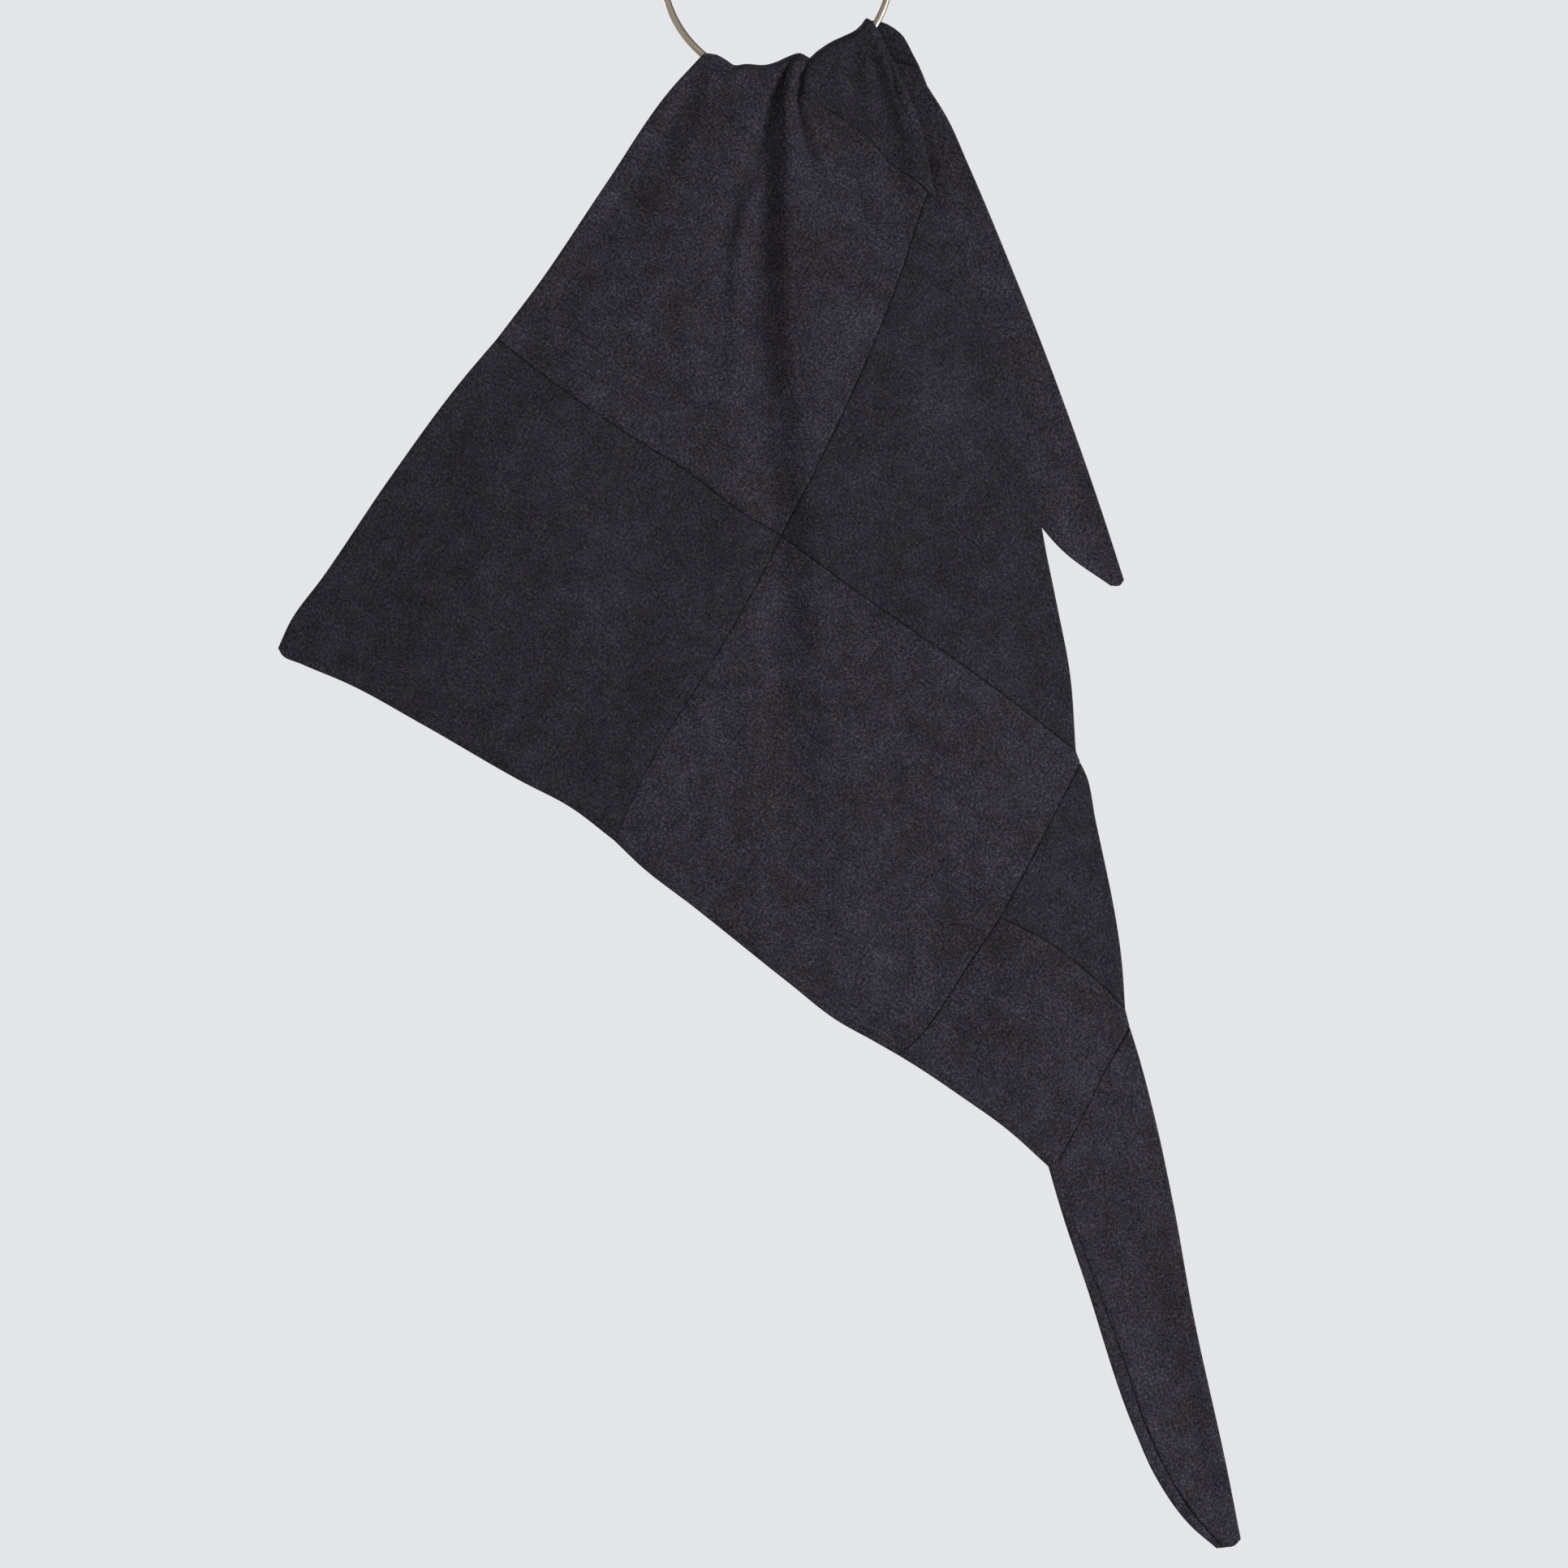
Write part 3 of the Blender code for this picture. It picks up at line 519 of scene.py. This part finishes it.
def smooth_path(rows):
    """Close points along a smooth curve through the rows, by cubic spans."""
    rows = np.array(rows, dtype=float)
    knots = np.concatenate([[0.0], np.cumsum(np.linalg.norm(np.diff(rows[:, :2], axis=0), axis=1))])
    slopes = np.gradient(rows, knots, axis=0)
    t = np.linspace(0.0, 1.0, SPAN_STEPS, endpoint=False)[:, None]
    path = []
    for start in range(len(rows) - 1):
        span = knots[start + 1] - knots[start]
        path.append(
            (2 * t**3 - 3 * t**2 + 1) * rows[start]
            + (t**3 - 2 * t**2 + t) * span * slopes[start]
            + (3 * t**2 - 2 * t**3) * rows[start + 1]
            + (t**3 - t**2) * span * slopes[start + 1]
        )
    return np.vstack([*path, rows[-1:]])


CREST_PATH = smooth_path(CREST)
HANG_PATHS = {sheet: smooth_path(rows) for sheet, rows in HANGS.items()}
FOLD_PATHS = {
    "front": [smooth_path(rows) for rows in FRONT_FOLDS + FRONT_CREASES],
    "back": [smooth_path(rows) for rows in BACK_FOLDS + BACK_CREASES],
}


def crest_down(across):
    return np.interp(across, CREST_PATH[:, 0], CREST_PATH[:, 1])


def line_path(name):
    start, end, kind, between = LINES[name]
    path = smooth_path([CORNERS[start], *between, CORNERS[end]])
    if kind == "crest":
        path[:, 1] = crest_down(path[:, 0])
    return path


def lengths_along(path):
    return np.concatenate([[0.0], np.cumsum(np.linalg.norm(np.diff(path, axis=0), axis=1))])


def chain_path(names):
    path = line_path(names[0])
    for name in names[1:]:
        path = np.vstack([path, line_path(name)[1:]])
    return path


def stations(length, count, to_crest):
    """Distances along a side: close together at its ends, and at the crest closer and closer."""
    edge = np.array(EDGE_STATIONS) * min(1.0, length / SHORT_SIDE)
    inner = count - len(edge) + 1
    if to_crest:
        even = np.linspace(0.0, 1.0, inner + 1)[1:]
        return np.concatenate([edge, edge[-1] + (length - edge[-1]) * (1.0 - (1.0 - even) ** 2)])
    inner -= len(edge) - 1
    even = np.linspace(edge[-1], length - edge[-1], inner + 1)
    return np.concatenate([edge[:-1], even, length - edge[-2::-1]])


def at_stations(path, wanted):
    lengths = lengths_along(path)
    return np.column_stack([np.interp(wanted, lengths, path[:, k]) for k in range(2)])


def side_count(paths):
    longest = max(lengths_along(path)[-1] for path in paths)
    return 2 * len(EDGE_STATIONS) + max(FEWEST_STEPS, round(longest / GRID_STEP))


def side_pair(first, second, count, to_crest=False):
    """Two opposite sides with the same number of points, and the mean share of the way at each."""
    sides, shares = [], []
    for path in (first, second):
        length = lengths_along(path)[-1]
        if length == 0.0:
            sides.append(np.repeat(path[:1], count + 1, axis=0))
            continue
        wanted = stations(length, count, to_crest)
        sides.append(at_stations(path, wanted))
        shares.append(wanted / length)
    return sides[0], sides[1], np.mean(shares, axis=0)


def point_path(where):
    return np.array([where, where])


def fold_rise(path, across, down):
    centre, rise, left, right = (np.interp(down, path[:, 0], path[:, k]) for k in range(1, 5))
    offset = across - centre
    reach = np.minimum(1.0, np.abs(offset) / np.where(offset < 0.0, left, right))
    return 0.5 * rise * (1.0 + np.cos(math.pi * reach))


def sheet_out(sheet, across, down):
    """How far out a sheet lies from the ring's plane, towards its own side."""
    hang = HANG_PATHS[sheet]
    out = np.interp(down, hang[:, 0], hang[:, 1])
    for path in FOLD_PATHS[sheet]:
        out = out + fold_rise(path, across, down)
    return out


def level(sheet, across, outward, down):
    """A value that grows outwards across the sheet's middle, in the roll and below it."""
    out = sheet_out(sheet, across, down)
    height = (down - crest_down(across)) / ROLL
    return np.where(
        height >= 1.0,
        2.0 * (outward - out) / out,
        (outward / out) ** 2 + (1.0 - np.minimum(height, 1.0)) ** 2,
    )


def sheet_points(sheet, flat):
    """The sheet's middle and the unit directions out of its outer face, in millimetres."""
    across, down = flat[:, 0], flat[:, 1]
    height = np.clip((down - crest_down(across)) / ROLL, 0.0, 1.0)
    out = sheet_out(sheet, across, down) * np.sqrt(1.0 - (1.0 - height) ** 2)
    e = SLOPE_STEP
    facing = -1.0 if sheet == "front" else 1.0
    outward = np.column_stack([
        level(sheet, across + e, out, down) - level(sheet, across - e, out, down),
        facing * (level(sheet, across, out + e, down) - level(sheet, across, out - e, down)),
        level(sheet, across, out, down - e) - level(sheet, across, out, down + e),
    ])
    outward /= np.linalg.norm(outward, axis=1)[:, None]
    return np.column_stack([across, facing * out, -down]), outward


def side_grid(sides, columns, to_crest):
    """Points that fill four sides, from bottom to top and left to right, as rows of (across, down)."""
    below, above, before, after = (chain_path(names) if names else None for names in sides)
    if before is None:
        before = point_path(below[0])
    if below is None:
        below = point_path(before[0])
    if np.linalg.norm(after[0] - below[-1]) > LINE_STEP:
        after = after[::-1]
    bottom, top, s = side_pair(below, above, columns)
    left, right, t = side_pair(before, after, side_count([before, after]), to_crest)
    s, t = s[None, :, None], t[:, None, None]
    ruled = (1 - t) * bottom[None] + t * top[None] + (1 - s) * left[:, None] + s * right[:, None]
    corners = (1 - t) * ((1 - s) * bottom[0] + s * bottom[-1]) + t * ((1 - s) * top[0] + s * top[-1])
    return ruled - corners


def nearest(path, points):
    """Each point's distance from a line, and how far along the line it is."""
    length = lengths_along(path)[-1]
    path = at_stations(path, np.linspace(0.0, length, max(2, round(length / LINE_STEP)) + 1))
    lengths = lengths_along(path)
    best, place = np.full(len(points), np.inf), np.zeros(len(points))
    for start, step, before, size in zip(path[:-1], np.diff(path, axis=0), lengths, np.diff(lengths)):
        offset = points - start
        share = np.clip(offset @ step / (step @ step), 0.0, 1.0)
        away = np.linalg.norm(offset - share[:, None] * step, axis=1)
        place = np.where(away < best, before + share * size, place)
        best = np.minimum(best, away)
    return best, place


def bells(rows, away):
    """The sum of smooth bumps beside a line, as strong, far out and wide as each row says."""
    return sum(
        strength * np.exp(-((away - middle) / width) ** 2) for strength, middle, width in rows
    )


def ripples(rows, flat):
    """Smooth uneven waves of the cloth, as high and wide as each row says."""
    total = np.zeros(len(flat))
    for height, size, seed in rows:
        waves = [noise.noise(Vector((across / size, down / size, seed))) for across, down in flat]
        total = total + height * np.array(waves)
    return total


def face_profile(name, sheet, sides, flat):
    """How far each point's outer and inner faces lie from the sheet's middle, and the marks on the cloth.

    The marks are the painted shade in seams and stitch lines, on the inner face also the painted shade in
    the back crease, and the spots: paler and bluer where the pile is raised, painted shade where they are
    negative.
    """
    half = np.full(len(flat), 0.5 * WALL)
    relief = ripples(OUTER_RIPPLES, flat)
    inner_relief = ripples(INNER_RIPPLES, flat)
    close = np.full(len(flat), np.inf)
    # painted shade in the seam and stitch grooves
    seam = np.zeros(len(flat))
    for line in sides:
        kind = LINES[line][2]
        if kind == "crest":
            continue
        away, along = nearest(line_path(line), flat)
        if kind in ("seam", "pressed"):
            start, end = SEAM_DEPTHS.get(line, EVEN_SEAM) if kind == "seam" else PRESSED_SEAM
            depth = start + (end - start) * along / along.max()
            depth = depth * (1.0 + ripples(SEAM_RIPPLES, flat))
            half = half - depth * bells(SEAM_GROOVE, away)
            # painted shade in the seam's groove
            seam = np.maximum(seam, depth * bells(SEAM_PAINTED_SHADE, away))
            if PRESSED_TO.get(line) == name:
                relief = relief + bells(PRESSED_ALLOWANCE, away)
        else:
            half = half * np.sqrt(1.0 - (1.0 - np.minimum(1.0, away / EDGE_ROUNDING)) ** 2)
            relief = relief + bells(TURNED_EDGE, away)
        if kind == "hem":
            stitched = np.interp(along, *np.array(HEM_STITCHING[line]).T)
            relief = relief + stitched * bells(STITCHED_RIDGE, away)
            # painted shade along the hem's stitch line
            seam = np.maximum(seam, STITCH_PAINTED_SHADE_STRENGTH * stitched * bells(STITCH_PAINTED_SHADE, away))
        close = np.minimum(close, away)
    pucker = ripples(PUCKERS, flat) * np.exp(-close / PUCKER_REACH)
    shrink = np.minimum(1.0, half / (0.5 * WALL)) ** 2
    outer = half + (relief + pucker) * shrink
    inner = half + (inner_relief + INNER_PUCKERS * pucker) * shrink
    painted_crease_shade = np.zeros(len(flat))
    if sheet == "back":
        # painted shade in the crease behind the front layer's edge
        painted_crease_shade = bells(BACK_CREASE_PAINTED_SHADE, nearest(line_path("neck_front"), flat)[0])
    return np.stack([outer, inner, seam, seam + painted_crease_shade, nap_and_shade_spots(flat)], axis=-1)


def nap_and_shade_spots(flat):
    """Where the pile is raised, and so paler and bluer, and where the strength is negative, painted shade.
    """
    raised = np.zeros(len(flat))
    # negative spots are painted shade in fold troughs and seam corners
    for across, down, wide, high, strength in NAP_AND_SHADE_SPOTS:
        raised = raised + strength * np.exp(
            -((flat[:, 0] - across) / wide) ** 2 - ((flat[:, 1] - down) / high) ** 2
        )
    return raised


def on_free_edge(names, points):
    """Whether each point along a side lies on a free edge."""
    free = np.zeros(len(points), dtype=bool)
    for name in names:
        if LINES[name][2] in ("edge", "hem"):
            free |= nearest(line_path(name), points)[0] < ON_LINE
    return free


def free_points(sides, grid, over_ring):
    """Which points of a part's grid lie on free edges. Over the ring its top goes on in the other part."""
    bottom, top, left, right = sides
    free = np.zeros(grid.shape[:2], dtype=bool)
    free[0] |= on_free_edge(bottom, grid[0])
    free[:, 0] |= on_free_edge(left, grid[:, 0])
    free[:, -1] |= on_free_edge(right, grid[:, -1])
    if not over_ring:
        free[-1] |= on_free_edge(top, grid[-1])
    return free


def part_layers(name, part, columns, over_ring):
    """A part's middle, outward directions, places on the cloth, profile and free points, as grids."""
    sheet, *sides = part
    grid = side_grid(sides, columns, to_crest=over_ring)
    free = free_points(sides, grid, over_ring)
    profile = face_profile(name, sheet, [line for side in sides for line in side], grid.reshape(-1, 2))
    flat = tongued(grid, free, over_ring).reshape(-1, 2)
    layers = [*sheet_points(sheet, flat), grain_places(name, sheet, flat), profile]
    return [*(layer.reshape(*free.shape, -1) for layer in layers), free]


def build_piece(name, materials):
    finish, nodes, _flat_size, _flat_area, parts = PIECES[name]
    over_ring = len(parts) > 1
    columns = side_count([chain_path(side) for part in parts for side in part[1:3] if side])
    stacks = [part_layers(name, part, columns, over_ring) for part in parts]
    if over_ring:
        stacks[1] = [layer[-2::-1] for layer in stacks[1]]
    layers = [np.concatenate(stack) for stack in zip(*stacks)]
    piece = shell(name, materials[finish], *layers, facing_back=parts[0][0] == "back")
    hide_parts(*nodes)
    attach(piece, "root")
    return piece


def roll_radius(sheet, across):
    """The roll over the rod taken as a round arc from its top to the sheet's full depth."""
    out = sheet_out(sheet, across, crest_down(across) + ROLL)
    return np.sqrt(0.5 * (ROLL**2 + out**2))


def below_crest(sheet, across, down):
    """How far a place is from the roll's top, along the cloth."""
    crest = crest_down(across)
    height = np.clip((down - crest) / ROLL, 0.0, 1.0)
    return down - crest - ROLL * height + roll_radius(sheet, across) * np.arccos(1.0 - height)


def grain_places(name, sheet, flat):
    """Places on the cloth along its weft and warp. Behind the ring the sheet is rolled out upwards."""
    across, down = flat[:, 0], flat[:, 1]
    crest = crest_down(across) + ROLL - 0.5 * math.pi * roll_radius("front", across)
    way = -1.0 if sheet == "back" else 1.0
    rolled_out = crest + way * below_crest(sheet, across, down)
    turn = math.radians(GRAINS[name])
    weft = across * math.cos(turn) + rolled_out * math.sin(turn)
    warp = across * math.sin(turn) - rolled_out * math.cos(turn)
    return np.column_stack([weft, warp])


def tongued(grid, free, over_ring):
    """The grid with its sewn sides pushed a hair past the seam, so that neighbours leave no slit."""
    pushed = grid.copy()
    every = slice(None)
    sides = [((0, every), (1, every)), ((every, 0), (every, 1)), ((every, -1), (every, -2))]
    if not over_ring:
        sides.append(((-1, every), (-2, every)))
    for rim, inside in sides:
        step = grid[rim] - grid[inside]
        size = np.linalg.norm(step, axis=1)[:, None]
        step = np.divide(step, size, out=np.zeros_like(step), where=size > SAME_POINT)
        pushed[rim] = pushed[rim] + SEAM_TONGUE * step * ~free[rim][:, None]
    return pushed


def shell(name, material, middle, outward, plane, profile, free, facing_back):
    """A closed cloth shell: two faces that share their points along free edges and have a rim at seams."""
    rows, columns = free.shape
    number = np.arange(rows * columns).reshape(rows, columns)
    outer_points = (middle + profile[..., :1] * outward).reshape(-1, 3)
    inner_points = (middle - profile[..., 1:2] * outward).reshape(-1, 3)
    outer_index = merged(number, middle)
    inner_index = np.where(free, outer_index, outer_index + rows * columns)
    points = np.vstack([outer_points, inner_points]) * MM
    planes = np.vstack([plane.reshape(-1, 2)] * 2)
    faces = []
    for index, turned in ((outer_index, facing_back), (inner_index, not facing_back)):
        quads = np.stack([index[:-1, :-1], index[:-1, 1:], index[1:, 1:], index[1:, :-1]], axis=-1)
        if turned:
            quads = quads[..., ::-1]
        faces += quads.reshape(-1, 4).tolist()
    loop = rim_loop(rows, columns)
    for here, there in zip(loop, loop[1:] + loop[:1]):
        rim = [outer_index[here], inner_index[here], inner_index[there], outer_index[there]]
        faces.append(rim[::-1] if facing_back else rim)
    faces = [list(dict.fromkeys(int(i) for i in face)) for face in faces]
    faces = [face for face in faces if len(face) > 2]
    outer_seam_shade, inner_seam_shade, nap_and_shade = profile[..., 2:].reshape(-1, 3).T
    # the seam mark is painted shade in seams and stitch lines, on the inner face also in the back crease
    marks = {"seam": np.concatenate([outer_seam_shade, inner_seam_shade]), "nap_and_shade": np.concatenate([nap_and_shade, nap_and_shade])}
    return mesh_piece(name, material, points, faces, planes * MM, marks)


def merged(number, middle):
    """The point numbers, with those of a collapsed side made one."""
    index = number.copy()
    for side in ((slice(None), 0), (0, slice(None)), (-1, slice(None))):
        if np.ptp(middle[side], axis=0).max() < SAME_POINT:
            index[side] = index[side][0]
    return index


def rim_loop(rows, columns):
    """The rim's grid places, anticlockwise seen from outside."""
    return (
        [(0, i) for i in range(columns - 1)]
        + [(j, columns - 1) for j in range(rows - 1)]
        + [(rows - 1, i) for i in range(columns - 1, 0, -1)]
        + [(j, 0) for j in range(rows - 1, 0, -1)]
    )


def add_object(name, data):
    made = bpy.data.objects.new(name, data)
    bpy.context.scene.collection.objects.link(made)
    return made


def mesh_piece(name, material, points, faces, planes, marks):
    """A smooth mesh with its places on the cloth and its marks. Points that no face uses are left out."""
    used = np.unique([i for face in faces for i in face])
    place = np.zeros(len(points), dtype=int)
    place[used] = np.arange(len(used))
    mesh = bpy.data.meshes.new(name)
    mesh.from_pydata(points[used].tolist(), [], [[int(place[i]) for i in face] for face in faces])
    corners = np.zeros(len(mesh.loops), dtype=np.int32)
    mesh.loops.foreach_get("vertex_index", corners)
    layer = mesh.uv_layers.new(name="cloth")
    layer.data.foreach_set("uv", planes[used][corners].astype(np.float32).ravel())
    for mark, values in marks.items():
        attribute = mesh.attributes.new(mark, "FLOAT", "POINT")
        attribute.data.foreach_set("value", values[used].astype(np.float32))
    mesh.shade_smooth()
    mesh.materials.append(material)
    return add_object(name, mesh)


def build_ring(material):
    """A round rod bent into a ring that stands in the plane y = 0 and hangs by its inner top."""
    angle, turn = np.meshgrid(
        np.linspace(0.0, 2.0 * math.pi, RING_STEPS, endpoint=False),
        np.linspace(0.0, 2.0 * math.pi, ROD_STEPS, endpoint=False),
        indexing="ij",
    )
    radius = RING_RADIUS + ROD_RADIUS * np.cos(turn)
    height = radius * np.cos(angle) - (RING_RADIUS - ROD_RADIUS)
    points = np.stack([radius * np.sin(angle), ROD_RADIUS * np.sin(turn), height], axis=-1)
    number = np.arange(RING_STEPS * ROD_STEPS).reshape(RING_STEPS, ROD_STEPS)
    onward, round_on = np.roll(number, -1, axis=0), np.roll(number, -1, axis=1)
    faces = np.stack([number, round_on, np.roll(round_on, -1, axis=0), onward], axis=-1).reshape(-1, 4)
    around = np.stack([angle * RING_RADIUS, turn * ROD_RADIUS], axis=-1)
    points, around = points.reshape(-1, 3) * MM, around.reshape(-1, 2) * MM
    ring = mesh_piece("ring", material, points, faces.tolist(), around, {})
    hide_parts("hanging_ring")
    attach(ring, "root")


def add_node(tree, kind, inputs, **settings):
    """A node with its settings, and its inputs as values or as the sockets that feed them."""
    made = tree.nodes.new(kind)
    for key, value in settings.items():
        setattr(made, key, value)
    for key, value in inputs.items():
        if isinstance(value, bpy.types.NodeSocket):
            tree.links.new(value, made.inputs[key])
        else:
            made.inputs[key].default_value = value
    return made.outputs


def mixed(tree, factor, first, second, blend="MIX"):
    """A colour mix. Sockets 0, 6 and 7 are its factor and two colours, and 2 is its result."""
    return add_node(
        tree, "ShaderNodeMix", {0: factor, 6: first, 7: second}, data_type="RGBA", blend_type=blend
    )[2]


def spread_out(tree, value, low, high, to_low=0.0, to_high=1.0):
    return add_node(
        tree, "ShaderNodeMapRange",
        {"Value": value, "From Min": low, "From Max": high, "To Min": to_low, "To Max": to_high},
    )[0]


def arithmetic(tree, operation, first, second):
    return add_node(tree, "ShaderNodeMath", {0: first, 1: second}, operation=operation)[0]


def new_material(name, roughness, metallic, specular):
    material = bpy.data.materials.new(name)
    material.use_nodes = True
    shader = material.node_tree.nodes["Principled BSDF"]
    shader.inputs["Roughness"].default_value = roughness
    shader.inputs["Metallic"].default_value = metallic
    shader.inputs["Specular IOR Level"].default_value = specular
    return material, material.node_tree, shader


def flat_noise(tree, place, scale, detail, roughness):
    """Uneven spots, about 1 / scale units across, from 0 to 1 about a half."""
    return add_node(
        tree, "ShaderNodeTexNoise",
        {"Vector": place, "Scale": scale, "Detail": detail, "Roughness": roughness}, noise_dimensions="2D",
    )[0]


def yarn_waves(tree, place, direction, period):
    """Rows of yarn across one direction of the cloth, a little uneven."""
    return add_node(
        tree, "ShaderNodeTexWave",
        {"Vector": place, "Scale": WAVE_SCALE / period, **YARN_UNEVENNESS},
        wave_type="BANDS", bands_direction=direction,
    )[1]


def weighted(tree, parts):
    """The sum of each value's difference from a half, by its weight."""
    total = 0.0
    for value, weight in parts:
        part = arithmetic(tree, "MULTIPLY", arithmetic(tree, "SUBTRACT", value, 0.5), weight)
        total = arithmetic(tree, "ADD", total, part)
    return total


def mark_value(tree, name):
    return add_node(tree, "ShaderNodeAttribute", {}, attribute_name=name)["Fac"]


def scaled(tree, colour, factor):
    return add_node(tree, "ShaderNodeVectorMath", {0: colour, "Scale": factor}, operation="SCALE")[0]


def cloth_material(name, look):
    """Woven wool: light and dark fibres in small flecks, over two crossing rows of yarn and larger clouds.

    It has painted shade in the seams, stitch lines and back crease, is paler and bluer where the pile is
    raised, and has painted shade where the spots are negative.
    """
    material, tree, shader = new_material(name + "_woven", *CLOTH_SURFACE)
    shader.inputs["Sheen Weight"].default_value = look["sheen"]
    shader.inputs["Sheen Roughness"].default_value = SHEEN_ROUGHNESS
    shader.inputs["Sheen Tint"].default_value = SHEEN_TINT
    metres = add_node(tree, "ShaderNodeUVMap", {}, uv_map="cloth")[0]
    place = scaled(tree, metres, 1.0 / MM)
    nap_and_shade = mark_value(tree, "nap_and_shade")
    flecks = flat_noise(tree, place, *FLECKS)
    clouds = flat_noise(tree, place, *CLOUDS)
    worn = spread_out(tree, flat_noise(tree, place, *WORN_SPOTS), *SPOT_RANGE)
    wear = arithmetic(tree, "ADD", worn, arithmetic(tree, "MULTIPLY", nap_and_shade, NAP_WEAR))
    warp = yarn_waves(tree, place, "X", look["warp_period"])
    weft = yarn_waves(tree, place, "Y", look["weft_period"])
    shade = weighted(tree, [
        (flecks, look["flecks"]), (clouds, look["clouds"]), (warp, look["warp"]), (weft, look["weft"]),
        (wear, look["wear"]),
    ])
    # raised pile, and painted shade where the spots are negative
    nap_and_painted_shade = arithmetic(tree, "MULTIPLY", nap_and_shade, NAP_AND_SHADE_STRENGTH)
    # painted shade in the seams, stitch lines and back crease
    sewn = arithmetic(tree, "MULTIPLY", mark_value(tree, "seam"), PAINTED_SEAM_SHADE)
    shade = arithmetic(tree, "SUBTRACT", arithmetic(tree, "ADD", shade, nap_and_painted_shade), sewn)
    hues = spread_out(tree, flat_noise(tree, place, *HUES), *SPOT_RANGE)
    tinted = mixed(tree, hues, (*look["warm"], 1.0), (*look["cool"], 1.0))
    faded = mixed(tree, wear, (*look["fresh"], 1.0), (*look["worn"], 1.0))
    colour = mixed(tree, 1.0, tinted, faded, "MULTIPLY")
    cloth = scaled(tree, colour, arithmetic(tree, "POWER", math.e, shade))
    tree.links.new(cloth, shader.inputs["Base Color"])
    height = weighted(tree, [(flecks, FLECK_HEIGHT), (warp, look["warp"]), (weft, look["weft"])])
    bump = add_node(
        tree, "ShaderNodeBump", {"Height": height, "Strength": look["bump"], "Distance": CLOTH_RELIEF}
    )[0]
    tree.links.new(bump, shader.inputs["Normal"])
    return material


def ring_material():
    """Polished metal with drawn streaks along the rod, and a painted dark reflection of the cloth along its
    inner side.
    """
    material, tree, shader = new_material("ring_metal_drawn", *METAL_SURFACE)
    metres = add_node(tree, "ShaderNodeUVMap", {}, uv_map="cloth")[0]
    drawn = add_node(tree, "ShaderNodeMapping", {"Vector": metres, "Scale": STREAK_STRETCH})[0]
    streaks = flat_noise(tree, drawn, *STREAKS)
    dull = flat_noise(tree, metres, *DULL_SPOTS)
    around = add_node(tree, "ShaderNodeSeparateXYZ", {0: metres})[1]
    # where the painted dark reflection of the cloth lies, along the rod's inner side
    inner = arithmetic(
        tree, "MULTIPLY", spread_out(tree, around, *PAINTED_REFLECTION_START), spread_out(tree, around, *PAINTED_REFLECTION_END)
    )
    metal = mixed(tree, spread_out(tree, streaks, *STREAK_RANGE), METAL_DARK, METAL_LIGHT)
    # painted dark reflection of the cloth on the rod's inner side
    with_painted_reflection = mixed(tree, arithmetic(tree, "MULTIPLY", inner, PAINTED_REFLECTION_STRENGTH), metal, PAINTED_REFLECTION)
    tree.links.new(with_painted_reflection, shader.inputs["Base Color"])
    roughness = spread_out(tree, dull, *DULL_RANGE, *METAL_ROUGHNESS)
    tree.links.new(roughness, shader.inputs["Roughness"])
    bump = add_node(
        tree, "ShaderNodeBump", {"Height": streaks, "Strength": STREAK_BUMP, "Distance": STREAK_RELIEF}
    )[0]
    tree.links.new(bump, shader.inputs["Normal"])
    return material


def build_floor():
    """A plain pale floor well below the tie's tip."""
    mesh = bpy.data.meshes.new("floor")
    turns = np.linspace(0.0, 2.0 * math.pi, FLOOR_SIDES, endpoint=False)
    rim = [(FLOOR_RADIUS * math.cos(a), FLOOR_RADIUS * math.sin(a), FLOOR_HEIGHT) for a in turns]
    mesh.from_pydata(rim, [], [list(range(len(rim)))])
    material, _tree, shader = new_material("pale_floor", *FLOOR_SURFACE)
    shader.inputs["Base Color"].default_value = FLOOR_COLOUR
    mesh.materials.append(material)
    floor = add_object("floor", mesh)


def build_lights():
    """Pale surroundings and soft lights."""
    world = bpy.data.worlds.new("pale_surroundings")
    world.use_nodes = True
    background = world.node_tree.nodes["Background"]
    background.inputs["Color"].default_value = SURROUNDINGS_COLOUR
    background.inputs["Strength"].default_value = 1.0
    bpy.context.scene.world = world
    for name, where, size, power in LIGHTS:
        data = bpy.data.lights.new(name, "AREA")
        data.shape = "DISK"
        data.size = size
        data.energy = power
        light = add_object(name, data)
        light.location = where
        aim = Vector(LIGHT_AIM) - light.location
        light.rotation_euler = aim.to_track_quat("-Z", "Y").to_euler()


def build_camera():
    data = bpy.data.cameras.new("camera")
    data.sensor_width = SENSOR_WIDTH
    data.lens = data.sensor_width * (CAMERA_BACK + CLOTH_PLANE) / FRAME_WIDTH
    camera = add_object("camera", data)
    camera.location = (VIEW_CENTRE[0], -CAMERA_BACK, VIEW_CENTRE[1])
    camera.rotation_euler = (math.pi / 2.0, 0.0, 0.0)
    bpy.context.scene.camera = camera


def declare_sheets(pieces):
    for name, piece in pieces.items():
        _finish, _nodes, flat_size, flat_area, _parts = PIECES[name]


def main():
    bpy.context.scene.view_settings.view_transform = "Standard"
    build_camera()
    build_floor()
    build_lights()
    materials = {name: cloth_material(name, look) for name, look in CLOTH_LOOKS.items()}
    build_ring(ring_material())
    declare_sheets({name: build_piece(name, materials) for name in PIECES})


main()
